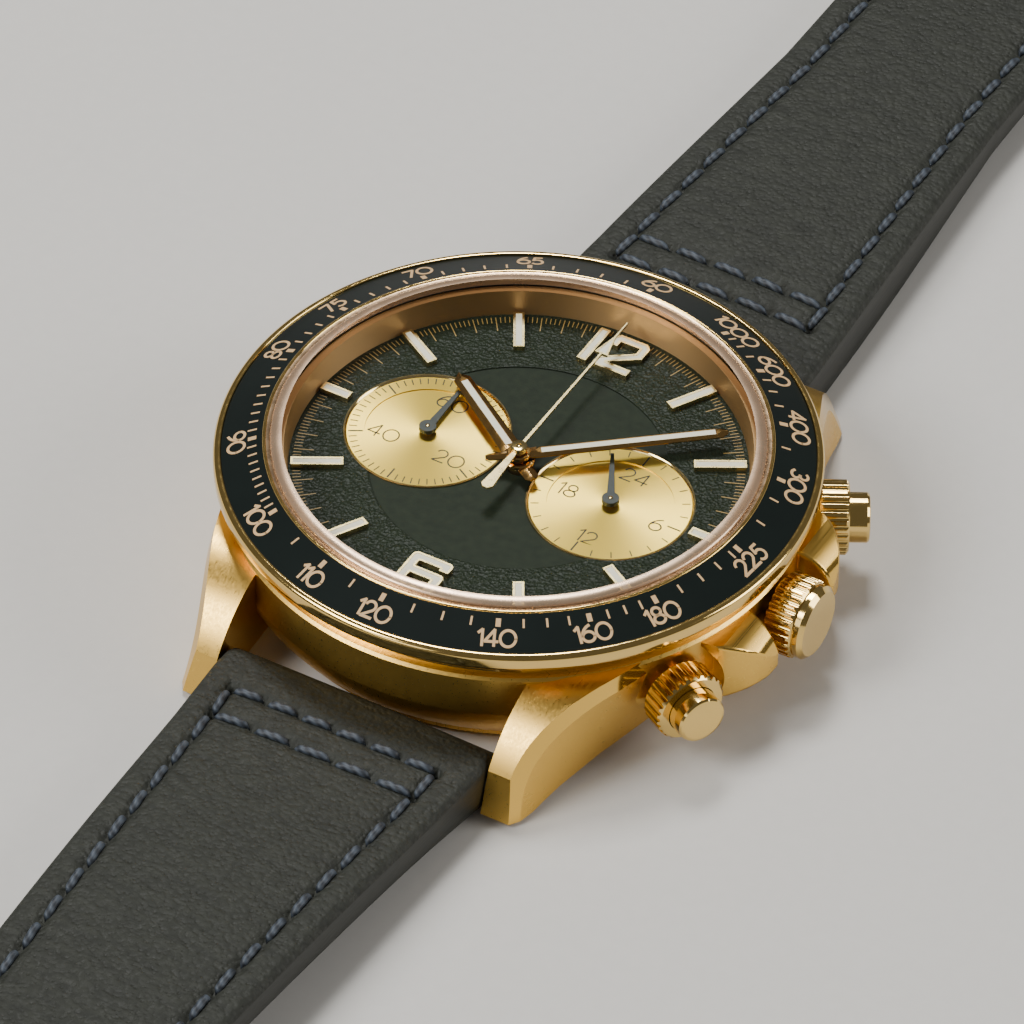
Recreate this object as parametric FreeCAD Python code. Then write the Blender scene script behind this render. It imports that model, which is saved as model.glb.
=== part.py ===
"""A chronograph wristwatch, lying face up on its flat case back with its strap open.

Frame: origin at the middle of the case back on the table, +X to 3 o'clock, +Y to 12 o'clock, +Z up.
All sizes are in millimetres. Hands and buttons stand where the photograph shows them.
"""
import FreeCAD, Part
import math
import os

os.makedirs("parts", exist_ok=True)

# ---- rings of the head, outwards from the crystal ---------------------------------------
CRYSTAL_R = 17.4
CRYSTAL_LEDGE = 0.1       # seat under the crystal's edge
NECK_WALL = 1.1           # ring on top of the case that the bezel is pressed over
CASE_SHOULDER = 2.6       # from that ring to the case's side
BACK_LEDGE = 0.7          # case back's plug, past the bore
BACK_FLANGE = 0.9         # case back's rim, past its plug
BACK_SLOPE = 3.4          # from the rim in to the flat that the watch lies on
CASE_FOOT = 0.4           # middle case round the case back's rim
GASKET_WALL = 0.24
BEZEL_LIP = 0.54          # bezel between the crystal's gasket and the insert
INSERT_WIDTH = 2.97
RIM_WIDTH = 0.55          # bezel outside the insert
BEZEL_OVERHANG = 1.2      # bezel's rim over its undercut
REHAUT_WALL = 0.8         # ring round the dial, at the dial
REHAUT_HEAD_WALL = 0.54   # and under the crystal

# ---- case -------------------------------------------------------------------------------
CASE_BOTTOM = 1.3
CASE_WAIST = 4.6          # height at which the side stops being straight
CASE_TOP = 8.0
NECK_TOP = 9.0
LUG_GAP = 22.0            # between the lugs: the strap's nominal width
LUG_OVERHANG = 3.15       # lug tips, past the case
LUG_FALL = 8.95           # length over which a lug's top curves down from level
LUG_TIP_TOP = 3.6         # top of a lug's blunt end
LUG_TIP_LEAN = 1.05       # how far that end leans back
LUG_FOOT = 0.35           # underside of a lug tip
LUG_FOOT_WIDTH = 2.65     # lug tip, across its bottom
LUG_CREST_WIDTH = 0.3     # lug tip, where its leaning side would reach the case's top
LUG_BEVEL = 0.4           # bevel beside a lug's top, across
LUG_BEVEL_DROP = 1.1      # and down
GUARD_OVERHANG = 2.4      # crown guards, past the case
GUARD_TOP = 7.7
GUARD_FOOT = 3.0
GUARD_GAP = 0.5           # guard to crown
GUARD_ROUNDING = 0.3
GUARD_SCOOP = 0.85        # hollow round a button's collar
BACK_PLUG_TOP = 2.5
BACK_FLOOR = 1.1          # thickness of the case back's floor
BACK_NOTCHES = 6
BACK_GASKET = 0.4         # thickness
FIT = 0.05                # radial gap of a turning or sliding fit
SEAT = 0.05               # gap where a piece drops into another

# ---- bezel, crystal and dial ------------------------------------------------------------
RIM_TOP = 10.72
RIM_FOOT = 9.35           # underside of the bezel's overhang
INSERT_IN_Z = 11.7
INSERT_OUT_Z = 10.6
INSERT_THICK = 0.6
LIP_TOP = 11.8
CRYSTAL_TOP = 12.05
CRYSTAL_THICK = 1.0
CRYSTAL_BEVEL = 0.73      # width of the ground bevel round the top
DIAL_TOP = 9.0
DIAL_THICK = 0.4
CENTRE_FIELD_R = 10.7     # sunk field in the middle of the dial
CENTRE_FIELD_SINK = 0.1
SUBDIAL_X = 7.5
SUBDIAL_R = 6.0
SUBDIAL_SINK = 0.1
SUBDIAL_DISH_R = 4.55
SUBDIAL_DISH = 0.08
SUBDIAL_THICK = 0.22

# ---- applied markers --------------------------------------------------------------------
MARKER_TOP = 9.4
MARKER_MARGIN = 0.2       # markers to the ring round the dial
BATON_LENGTH = 3.75
SHORT_BATON_LENGTH = 2.23
BATON_WIDTH = 0.8
INLAY_WIDTH = 0.47
INLAY_DEPTH = 0.12
NUMERAL_MARGIN = 0.75     # far edge of the 12 and of the 6, to the ring round the dial
NUMERAL_HEIGHT = 3.75
NUMERAL_STROKE = 0.75
SIX_HEIGHT = 4.0
SIX_HALF = 1.6
SIX_SLOT = 0.62           # opening under the 6's top bar
SIX_HOOK = 0.25           # how far the bar's end turns down into it
SIX_ROUNDING = 0.4

# ---- hands ------------------------------------------------------------------------------
HOUR_ANGLE = 304.5        # clockwise from 12 o'clock, as photographed
MINUTE_ANGLE = 50.5
HAND_24H_ANGLE = 332.0
HOUR_LENGTH = 10.0
HOUR_WIDTH = 1.32
MINUTE_MARGIN = 1.3       # minute hand's tip to the ring round the dial
MINUTE_WIDTH = 1.05
HAND_TAIL = 2.4
HAND_LUME_START = 1.62
HAND_LUME_STOP = 0.9      # bare metal at the tip
HAND_LUME_WIDTH = 0.52
HAND_THICK = 0.25
HOUR_HAND_Z = 9.6
MINUTE_HAND_Z = 10.1
SWEEP_HAND_Z = 10.6
SWEEP_MARGIN = 0.8
SWEEP_TAIL = 4.8
SWEEP_WIDTH = 0.24
SWEEP_TAIL_WIDTH = 0.9
SWEEP_TIP_BARE = 1.55     # needle past the lume triangle
SWEEP_TIP_LENGTH = 2.3
SWEEP_TIP_WIDTH = 1.05
SMALL_HAND_LENGTH = 4.9
SMALL_HAND_Z = 9.12
SMALL_HAND_THICK = 0.18
SMALL_HUB_R = 0.62
SMALL_HUB_TOP = 9.46

# ---- movement ---------------------------------------------------------------------------
PLATE_MARGIN = 0.95       # battery's edge to the plate's edge
HOLDER_FOOT = 2.95
PLATE_Z = 6.5
PLATE_THICK = 0.8
BRIDGE_Z = 3.9
BRIDGE_THICK = 0.4
BOARD_Z = 3.0
BOARD_THICK = 0.4
SWEEP_ARBOR_R = 0.2
CANNON_R = 0.45
HOUR_TUBE_R = 0.78
SMALL_ARBOR_R = 0.25
PIVOT_R = 0.2
ROTOR_PIVOT_R = 0.1
WHEEL_THICK = 0.25
MOTION_Z = 7.4            # wheel driven by the cannon pinion
HOUR_WHEEL_Z = 7.95
CANNON_TEETH, MOTION_TEETH = 12, 36
MOTION_PINION_TEETH, HOUR_TEETH = 10, 40
IDLER_TEETH, DAY_TEETH = 18, 80
CENTRE_TEETH, THIRD_PINION_TEETH = 60, 8
THIRD_TEETH, ROTOR_TEETH = 72, 6
SWEEP_PINION_TEETH, STEP_TEETH = 8, 60
STEP_PINION_TEETH, COUNTER_TEETH = 8, 64
CENTRE_MODULE = 0.085
THIRD_MODULE = 0.06
SWEEP_MODULE = 0.105
COUNTER_MODULE = 0.115
THIRD_DIRECTION = 60.0    # from the centre towards the third wheel and the motor
CENTRE_WHEEL_Z = 5.35
THIRD_WHEEL_Z = 5.8
STEP_WHEEL_Z = 4.65
COUNTER_WHEEL_Z = 5.1
ROTOR_R = 0.85
ROTOR_Z = 4.6
ROTOR_HEIGHT = 0.6
STATOR_Z = 4.7
STATOR_THICK = 0.4
COIL_R = 1.15
COIL_HALF = 5.0
COIL_Y = 9.3
BATTERY_R = 4.75
BATTERY_THICK = 3.6
BATTERY_Z = 2.75
BATTERY_Y = -8.3
SCREW_R = 0.35
SCREW_HEAD_R = 0.8
SCREW_HEAD = 0.3

# ---- crown and stem ---------------------------------------------------------------------
STEM_Z = 5.3
STEM_R = 0.5
STEM_PIVOT_LENGTH = 1.7   # thin inner end of the stem
GROOVE_R = 0.3
GROOVE_INSET = 3.2        # from the plate's edge
GROOVE_WIDTH = 0.5
CLUTCH_INSET = 1.5        # sliding pinion, behind the groove
CLUTCH_LENGTH = 1.1
CLUTCH_R = 1.02
TUBE_R = 1.1
TUBE_REACH = 1.1          # crown tube inside the crown
CROWN_R = 2.95
CROWN_GAP = 0.3           # crown to case, pushed in
CROWN_LENGTH = 3.1
CROWN_RIM_LENGTH = 0.85   # plain rim in front of the flutes
CROWN_RIM_STEP = 0.19
CROWN_FACE_EASE = 0.34
CROWN_FLUTES = 30
CROWN_FLUTE_R = 0.24
CROWN_PULL = 1.2

# ---- push buttons -----------------------------------------------------------------------
BUTTON_ANGLE = 29.1       # near 2 o'clock and 4 o'clock
BUTTON_Z = 4.7
BUTTON_TRAVEL = 0.9
CAP_R = 1.83
CAP_REACH = 4.1           # button's face, past the case
CAP_LENGTH = 2.5
BUTTON_STEM_R = 0.68
BUTTON_TIP = 11.5
BUTTON_TIP_R = 0.25
COLLAR_R = 2.7
COLLAR_GAP = 0.45         # collar's foot, past the case
COLLAR_LENGTH = 2.15
COLLAR_NECK_R = 1.5
COLLAR_NECK_START = 0.9   # from the bore
COLLAR_FLUTES = 28
COLLAR_FLUTE_R = 0.2
SPRING_CHAMBER_R = 1.2
SPRING_SEAT = 1.0         # collar's neck behind the spring
SPRING_WIRE = 0.24        # square wire
SPRING_TURNS = 5
LEVER_ARM = 4.5
LEVER_WIDTH = 0.7
LEVER_THICK = 0.4
LEVER_GAP = 0.05
LEVER_POST_R = 0.3
LEVER_HUB_R = 0.8

# ---- strap and buckle -------------------------------------------------------------------
BAR_INSET = 1.45          # spring bars, in from the lug tips
BAR_Z = 2.2
BAR_R = 0.7
BAR_TIP_R = 0.42
BAR_TIP = 1.1
STRAP_PLAY = 0.15         # each side, between the lugs
STRAP_END_R = 2.0         # strap folded round the spring bar
STRAP_TAPER_START = 1.3   # from the spring bar
STRAP_TAPER_END = 33.3
STRAP_TAIL_WIDTH = 18.0
STRAP_SHORT = 75.0        # spring bar to buckle bar
STRAP_LONG = 120.0        # spring bar to tip
STRAP_SHOULDER = 4.4      # height of the padded top near the lugs
STRAP_THIN = 2.6
STRAP_TIP_THICK = 2.3
STRAP_LIFT = 1.25         # underside where the keepers go round the strap
ARCH_LIFT = 3.0           # underside of the tail half at the top of its arch
ARCH_PLACE = 38.0         # from the spring bar
ARCH_END = 100.0          # where it comes down to the table
HOLE_R = 1.0
HOLE_COUNT = 7
HOLE_PITCH = 6.5
HOLE_START = 60.0         # spring bar to first hole
STRAP_TUNNEL_GAP = 0.06
RELIEF_GAP = 0.3          # case to strap end
BUCKLE_BAR_R = 0.6
BUCKLE_BAR_Z = 1.6
BUCKLE_END_R = 1.3        # strap folded round the buckle's bar
BUCKLE_IN_PLAY = 0.35     # each side
BUCKLE_WALL = 2.3
BUCKLE_LENGTH = 11.0      # bar to the outside of the front rail
BUCKLE_RAIL = 2.6
BUCKLE_HEIGHT = 2.6
BUCKLE_FOOT = 0.1
BUCKLE_EAR = 1.7          # frame behind the bar
TONGUE_WIDTH = 2.2
TONGUE_THICK = 0.9
TONGUE_SLOT = 3.0
TONGUE_SLOT_BACK = 5.0
KEEPER_WIDTH = 6.0
KEEPER_WALL = 0.95
KEEPER_PLAY = 0.3
KEEPER_FOOT = 0.15
KEEPER_ROOM = 5.5         # inside height: two layers of strap
FIXED_KEEPER_BACK = 9.7   # from the buckle's bar
FREE_KEEPER_BACK = 20.7

UP = FreeCAD.Vector(0, 0, 1)
ALONG_X = FreeCAD.Vector(1, 0, 0)
ALONG_Y = FreeCAD.Vector(0, 1, 0)
ORIGIN = FreeCAD.Vector(0, 0, 0)
WATCH_CENTRE = (0.0, 0.0)

# ---- sizes that follow from the ones above ----------------------------------------------
BORE_R = CRYSTAL_R - CRYSTAL_LEDGE
NECK_R = BORE_R + NECK_WALL
CASE_R = NECK_R + CASE_SHOULDER
BACK_THREAD_R = BORE_R + BACK_LEDGE
BACK_FLANGE_R = BACK_THREAD_R + BACK_FLANGE
BACK_LAND_R = BACK_FLANGE_R - BACK_SLOPE
CASE_FOOT_R = BACK_FLANGE_R + CASE_FOOT
INSERT_IN_R = CRYSTAL_R + GASKET_WALL + BEZEL_LIP
RIM_IN_R = INSERT_IN_R + INSERT_WIDTH
BEZEL_R = RIM_IN_R + RIM_WIDTH
UNDERCUT_R = BEZEL_R - BEZEL_OVERHANG
LUG_REACH = CASE_R + LUG_OVERHANG
LUG_BROW = LUG_REACH - LUG_FALL
GUARD_REACH = CASE_R + GUARD_OVERHANG
PLATE_TOP = PLATE_Z + PLATE_THICK
BRIDGE_TOP = BRIDGE_Z + BRIDGE_THICK
DIAL_FOOT = DIAL_TOP - DIAL_THICK
PLATE_R = BATTERY_R - BATTERY_Y + PLATE_MARGIN
HOLDER_IN_R = PLATE_R + SEAT
GROOVE_X = PLATE_R - GROOVE_INSET
CLUTCH_X = GROOVE_X - CLUTCH_INSET
STEM_IN_X = CLUTCH_X - STEM_PIVOT_LENGTH
DIAL_R = BORE_R - 2 * SEAT
REHAUT_FOOT_R = DIAL_R - REHAUT_WALL
REHAUT_HEAD_R = DIAL_R - REHAUT_HEAD_WALL
MARKER_OUT_R = REHAUT_FOOT_R - MARKER_MARGIN
BATON_IN_R = MARKER_OUT_R - BATON_LENGTH
SHORT_BATON_IN_R = MARKER_OUT_R - SHORT_BATON_LENGTH
NUMERAL_OUT_Y = REHAUT_FOOT_R - NUMERAL_MARGIN
MINUTE_LENGTH = REHAUT_FOOT_R - MINUTE_MARGIN
SWEEP_LENGTH = REHAUT_FOOT_R - SWEEP_MARGIN
SWEEP_TIP_STOP = SWEEP_LENGTH - SWEEP_TIP_BARE
SWEEP_TIP_START = SWEEP_TIP_STOP - SWEEP_TIP_LENGTH
CRYSTAL_FOOT = CRYSTAL_TOP - CRYSTAL_THICK
HOUR_MODULE = SUBDIAL_X / (0.5 * HOUR_TEETH + IDLER_TEETH + 0.5 * DAY_TEETH)
MOTION_DISTANCE = 0.5 * HOUR_MODULE * (MOTION_PINION_TEETH + HOUR_TEETH)
CANNON_MODULE = 2 * MOTION_DISTANCE / (CANNON_TEETH + MOTION_TEETH)
IDLER_DISTANCE = 0.5 * HOUR_MODULE * (HOUR_TEETH + IDLER_TEETH)
THIRD_DISTANCE = 0.5 * CENTRE_MODULE * (CENTRE_TEETH + THIRD_PINION_TEETH)
MOTOR_DISTANCE = 0.5 * THIRD_MODULE * (THIRD_TEETH + ROTOR_TEETH)
STEP_DISTANCE = 0.5 * SWEEP_MODULE * (SWEEP_PINION_TEETH + STEP_TEETH)
COUNTER_DISTANCE = 0.5 * COUNTER_MODULE * (STEP_PINION_TEETH + COUNTER_TEETH)
CROWN_IN_X = CASE_R + CROWN_GAP
CROWN_OUT_X = CROWN_IN_X + CROWN_LENGTH
CROWN_KNURL_OUT_X = CROWN_OUT_X - CROWN_RIM_LENGTH
CROWN_RIM_R = CROWN_R - CROWN_RIM_STEP
CROWN_FACE_R = CROWN_RIM_R - CROWN_FACE_EASE
TUBE_OUT_X = CROWN_IN_X + TUBE_REACH
CAP_OUT = CASE_R + CAP_REACH
CAP_IN = CAP_OUT - CAP_LENGTH
COLLAR_IN = CASE_R + COLLAR_GAP
COLLAR_OUT = COLLAR_IN + COLLAR_LENGTH
COLLAR_NECK_IN = BORE_R + COLLAR_NECK_START
SPRING_CHAMBER_IN = COLLAR_NECK_IN + SPRING_SEAT
LEVER_Z = BUTTON_Z - 0.5 * LEVER_THICK
STRAP_HALF = 0.5 * LUG_GAP - STRAP_PLAY
BAR_Y = LUG_REACH - BAR_INSET
BUCKLE_BAR_Y = BAR_Y + STRAP_SHORT
FIXED_KEEPER_Y = BUCKLE_BAR_Y - FIXED_KEEPER_BACK
FREE_KEEPER_Y = BUCKLE_BAR_Y - FREE_KEEPER_BACK
LUG_ROOT_Y = 0.43 * CASE_R


# ---- small makers -----------------------------------------------------------------------
def vec(x, y, z=0.0):
    return FreeCAD.Vector(x, y, z)


def polar(radius, degrees):
    """Plan point at a radius and an angle from +X, counter-clockwise."""
    a = math.radians(degrees)
    return (radius * math.cos(a), radius * math.sin(a))


def disc(radius, z0, z1, at=WATCH_CENTRE):
    return Part.makeCylinder(radius, z1 - z0, vec(at[0], at[1], z0))


def ring(outer, inner, z0, z1, at=WATCH_CENTRE):
    return disc(outer, z0, z1, at).cut(disc(inner, z0, z1, at))


def rod_x(radius, x0, x1, z, y=0.0):
    return Part.makeCylinder(radius, x1 - x0, vec(x0, y, z), ALONG_X)


def wire(points):
    """Closed outline. A point of two triples is an arc: the point it passes, then its end."""
    first = points[0]
    last = first
    edges = []
    for p in points[1:] + [first]:
        if isinstance(p[0], tuple):
            middle, end = vec(*p[0]), vec(*p[1])
            edges.append(Part.Arc(vec(*last), middle, end).toShape())
            last = p[1]
        else:
            if vec(*last).distanceToPoint(vec(*p)) > 1e-6:
                edges.append(Part.LineSegment(vec(*last), vec(*p)).toShape())
            last = p
    return Part.Wire(edges)


def turned(points):
    """Solid of revolution about the watch's axis. Points are (radius, height)."""
    lifted = []
    for p in points:
        if isinstance(p[0], tuple):
            lifted.append(((p[0][0], 0.0, p[0][1]), (p[1][0], 0.0, p[1][1])))
        else:
            lifted.append((p[0], 0.0, p[1]))
    return Part.Face(wire(lifted)).revolve(ORIGIN, UP, 360)


def turned_x(points, z):
    """Solid of revolution about an axis along X at a height. Points are (x, radius)."""
    lifted = [(x, 0.0, z + r) for x, r in points]
    return Part.Face(wire(lifted)).revolve(vec(0, 0, z), ALONG_X, 360)


def outline_at(points, z):
    """Closed outline at a height, from (x, y) points and arcs."""
    lifted = []
    for p in points:
        if isinstance(p[0], tuple):
            lifted.append(((p[0][0], p[0][1], z), (p[1][0], p[1][1], z)))
        else:
            lifted.append((p[0], p[1], z))
    return wire(lifted)


def plate(points, z0, z1):
    """Flat plate with a plan outline of (x, y) points and arcs."""
    return Part.Face(outline_at(points, z0)).extrude(vec(0, 0, z1 - z0))


def side_prism(points, x0, x1):
    """Prism along X with a side outline of (y, z) points and arcs."""
    lifted = []
    for p in points:
        if isinstance(p[0], tuple):
            lifted.append(((x0, p[0][0], p[0][1]), (x0, p[1][0], p[1][1])))
        else:
            lifted.append((x0, p[0], p[1]))
    return Part.Face(wire(lifted)).extrude(vec(x1 - x0, 0, 0))


def box(x0, x1, y0, y1, z0, z1):
    return Part.makeBox(x1 - x0, y1 - y0, z1 - z0, vec(x0, y0, z0))


def spun(shape, degrees, at=WATCH_CENTRE):
    """A copy turned counter-clockwise about a vertical axis."""
    turned_copy = shape.copy()
    turned_copy.rotate(vec(at[0], at[1], 0), UP, degrees)
    return turned_copy


def joined(shapes):
    whole = shapes[0]
    for s in shapes[1:]:
        whole = whole.fuse(s)
    return whole.removeSplitter()


def without(shape, tools):
    for t in tools:
        shape = shape.cut(t)
    return shape


def group(solids):
    return Part.makeCompound(solids)


def save(name, shape):
    shape.exportStep("parts/%s.step" % name)
    print("%-22s %2d solid %9.3f mm3 valid %s" % (name, len(shape.Solids), shape.Volume, shape.isValid()))


# ---- gears ------------------------------------------------------------------------------
def gear(teeth, module, z0, z1, at, phase, bore):
    """Toothed disc: straight flanks, a tooth centred on the phase angle."""
    pitch = 360.0 / teeth
    root = 0.5 * module * (teeth - 2.5)
    tip = 0.5 * module * (teeth + 1.8)
    outline = []
    for i in range(teeth):
        for share, radius in ((-0.30, root), (-0.11, tip), (0.11, tip), (0.30, root)):
            x, y = polar(radius, phase + (i + share) * pitch)
            outline.append((at[0] + x, at[1] + y))
    return plate(outline, z0, z1).cut(disc(bore, z0, z1, at))


def mesh_phase(direction, phase, teeth, other_teeth):
    """Phase of the gear that lies in a direction, so that its gap takes this gear's tooth."""
    return direction + 180.0 - ((phase - direction) * teeth + 180.0) / other_teeth


# ---- case -------------------------------------------------------------------------------
def lug():
    """The lug at 1 o'clock: leaning outer side, top that slopes down to a blunt tip, bevelled edge."""
    inner = 0.5 * LUG_GAP
    beyond = LUG_REACH + 0.4
    foot = lug_outline(inner, inner + LUG_FOOT_WIDTH, CASE_R - 4.0, beyond, -0.22, 0.75)
    crest = lug_outline(inner, inner + LUG_CREST_WIDTH, CASE_R - 2.87, beyond, 0.84, 0.32)
    body = Part.makeLoft([outline_at(foot, LUG_FOOT - 0.5), outline_at(crest, CASE_TOP)], True, True)
    top = CASE_TOP - 0.05
    end = LUG_REACH - LUG_TIP_LEAN
    side = [(LUG_ROOT_Y, top), (LUG_BROW, top),
            (lug_crown_point(top, end), (end, LUG_TIP_TOP)), (LUG_REACH, LUG_FOOT), (LUG_REACH - 1.95, LUG_FOOT),
            (LUG_REACH - 4.65, LUG_FOOT + 0.55), (LUG_REACH - 8.65, CASE_BOTTOM), (LUG_ROOT_Y, CASE_BOTTOM)]
    shaped = body.common(side_prism(side, 0.0, CASE_R))
    return bevelled(shaped)


def lug_crown_point(top, end):
    """Middle point of the arc that leaves the level top without a break and ends at the lug's tip."""
    run = end - LUG_BROW
    fall = top - LUG_TIP_TOP
    radius = (run * run + fall * fall) / (2 * fall)
    half = 0.5 * math.asin(run / radius)
    return (LUG_BROW + radius * math.sin(half), top - radius + radius * math.cos(half))


def lug_outline(inner, tip, root, beyond, out, along):
    """Plan of a lug: straight inner side, and an outer side that bows from its tip to its root."""
    middle = (0.5 * (tip + root) + out, 0.5 * (beyond + LUG_ROOT_Y) + along)
    return [(inner, LUG_ROOT_Y), (inner, beyond), (tip, beyond), (middle, (root, LUG_ROOT_Y))]


def bevelled(shape):
    """Bevels the edge between the lug's top and its outer side."""
    edges = [e for e in shape.Edges
             if e.Length > 4.0 and e.CenterOfMass.x > 0.5 * LUG_GAP + 1.0 and e.CenterOfMass.z > 4.0]
    return shape.makeChamfer(LUG_BEVEL, LUG_BEVEL_DROP, edges)


def crown_guard():
    """The guard above the crown: slopes down to a round nose, and is scooped out beside the button."""
    near = CROWN_R + GUARD_GAP
    root = CASE_R - 4.0
    brow = CASE_R - 0.1
    nose = GUARD_REACH - 0.1
    plan = [(root, near), (brow, near), (GUARD_REACH, near + 0.4),
            ((GUARD_REACH - 0.65, near + 2.6), (brow - 0.2, near + 4.45)), (root, near + 5.0)]
    side = [(root, 0, GUARD_TOP), (brow, 0, GUARD_TOP),
            ((nose - 0.95, 0, GUARD_TOP - 0.75), (nose, 0, GUARD_TOP - 2.2)),
            ((nose + 0.18, 0, GUARD_FOOT + 1.6), (nose - 0.2, 0, GUARD_FOOT + 0.7)),
            (nose - 1.9, 0, GUARD_FOOT), (root, 0, GUARD_FOOT)]
    profile = Part.Face(wire(side)).extrude(vec(0, 12.0, 0))
    body = plate(plan, 0.0, CASE_TOP).common(profile)
    rims = [e for e in body.Edges if e.CenterOfMass.x > brow and e.CenterOfMass.z > GUARD_FOOT + 0.3]
    body = body.makeFillet(GUARD_ROUNDING, rims)
    scoop = rod_x(COLLAR_R + GUARD_SCOOP, CASE_R - 0.3, CASE_R + 6.0, BUTTON_Z)
    return body.cut(spun(scoop, BUTTON_ANGLE))


def case_middle():
    body = turned([
        (BACK_THREAD_R + SEAT, CASE_BOTTOM), (CASE_FOOT_R - 0.2, CASE_BOTTOM),
        (CASE_FOOT_R, CASE_BOTTOM + 0.15),
        ((CASE_R - 0.5, CASE_WAIST - 1.5), (CASE_R, CASE_WAIST)),
        (CASE_R, CASE_TOP - 0.2), (CASE_R - 0.2, CASE_TOP),
        (NECK_R, CASE_TOP), (NECK_R, NECK_TOP), (BORE_R, NECK_TOP),
        (BORE_R, BACK_PLUG_TOP + BACK_GASKET), (BACK_THREAD_R + SEAT, BACK_PLUG_TOP + BACK_GASKET)])
    one = lug()
    lugs = [one, one.mirror(ORIGIN, ALONG_X)]
    lugs += [s.mirror(ORIGIN, ALONG_Y) for s in lugs]
    guard = crown_guard()
    inside = disc(BACK_THREAD_R + SEAT, 0.0, BACK_PLUG_TOP + BACK_GASKET)
    inside = inside.fuse(disc(BORE_R, 0.0, NECK_TOP + 1.0))
    inside = inside.fuse(disc(BACK_FLANGE_R + SEAT, -1.0, CASE_BOTTOM))
    body = joined([body] + lugs + [guard, guard.mirror(ORIGIN, ALONG_Y)]).cut(inside)
    tools = [rod_x(TUBE_R, BORE_R - 1.0, CASE_R + 3.0, STEM_Z)]
    tools.append(rod_x(CROWN_R + 0.25, CROWN_IN_X - 0.25, CASE_R + 6.0, STEM_Z))
    for sign in (1, -1):
        neck = rod_x(COLLAR_NECK_R, BORE_R - 1.0, CASE_R + 2.0, BUTTON_Z)
        pocket = rod_x(COLLAR_R + 0.12, COLLAR_IN - SEAT, CASE_R + 4.0, BUTTON_Z)
        tools += [spun(neck, sign * BUTTON_ANGLE), spun(pocket, sign * BUTTON_ANGLE)]
        reach = 0.5 * LUG_GAP + BAR_TIP + 0.1
        tools.append(rod_x(BAR_TIP_R + SEAT, -reach, reach, BAR_Z, sign * BAR_Y))
        relief = 0.5 * LUG_GAP
        tools.append(rod_x(STRAP_END_R + RELIEF_GAP, -relief, relief, BAR_Z, sign * BAR_Y))
    return without(body, tools)


def caseback():
    body = turned([
        (0.0, 0.0), (BACK_LAND_R, 0.0), (BACK_FLANGE_R - 0.6, 0.35), (BACK_FLANGE_R, 0.75),
        (BACK_FLANGE_R, CASE_BOTTOM), (BACK_THREAD_R, CASE_BOTTOM), (BACK_THREAD_R, BACK_PLUG_TOP),
        (BACK_THREAD_R - 1.2, BACK_PLUG_TOP), (BACK_THREAD_R - 1.2, BACK_FLOOR), (0.0, BACK_FLOOR)])
    for i in range(BACK_NOTCHES):
        notch = box(BACK_LAND_R + 0.8, BACK_FLANGE_R + 1.0, -1.1, 1.1, -0.1, 0.8)
        body = body.cut(spun(notch, i * 360.0 / BACK_NOTCHES))
    return body


def caseback_gasket():
    return ring(BACK_THREAD_R, BORE_R + 0.1, BACK_PLUG_TOP, BACK_PLUG_TOP + BACK_GASKET)


# ---- bezel and crystal ------------------------------------------------------------------
def bezel():
    seat = CRYSTAL_FOOT - 0.1
    return turned([
        (NECK_R + FIT, CASE_TOP), (UNDERCUT_R, CASE_TOP), (UNDERCUT_R, RIM_FOOT - 0.15),
        (BEZEL_R - 0.35, RIM_FOOT), ((BEZEL_R - 0.1, RIM_FOOT + 0.1), (BEZEL_R, RIM_FOOT + 0.4)),
        (BEZEL_R, RIM_TOP - 0.45), ((BEZEL_R - 0.13, RIM_TOP - 0.12), (BEZEL_R - 0.42, RIM_TOP)),
        (RIM_IN_R, RIM_TOP - 0.06), (RIM_IN_R, INSERT_OUT_Z - INSERT_THICK),
        (INSERT_IN_R, INSERT_IN_Z - INSERT_THICK), (INSERT_IN_R, LIP_TOP - 0.05),
        (INSERT_IN_R - 0.06, LIP_TOP), (CRYSTAL_R + GASKET_WALL + 0.08, LIP_TOP),
        (CRYSTAL_R + GASKET_WALL, LIP_TOP - 0.08), (CRYSTAL_R + GASKET_WALL, seat), (BORE_R, seat),
        (BORE_R, NECK_TOP + SEAT), (NECK_R + FIT, NECK_TOP + SEAT)])


def bezel_insert():
    gap = 0.02
    return turned([
        (INSERT_IN_R + gap, INSERT_IN_Z), (RIM_IN_R - gap, INSERT_OUT_Z),
        (RIM_IN_R - gap, INSERT_OUT_Z - INSERT_THICK + gap),
        (INSERT_IN_R + gap, INSERT_IN_Z - INSERT_THICK + gap)])


def crystal():
    drop = 0.32
    return turned([
        (0.0, CRYSTAL_FOOT), (CRYSTAL_R - 0.01, CRYSTAL_FOOT), (CRYSTAL_R - 0.01, CRYSTAL_TOP - drop),
        (CRYSTAL_R - CRYSTAL_BEVEL, CRYSTAL_TOP), (0.0, CRYSTAL_TOP)])


def crystal_gasket():
    return ring(CRYSTAL_R + GASKET_WALL - 0.01, CRYSTAL_R, CRYSTAL_FOOT - 0.08, LIP_TOP - 0.1)


def rehaut():
    return turned([
        (REHAUT_FOOT_R, DIAL_TOP), (DIAL_R, DIAL_TOP), (DIAL_R, CRYSTAL_FOOT - 0.03),
        (REHAUT_HEAD_R, CRYSTAL_FOOT - 0.03)])


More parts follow.
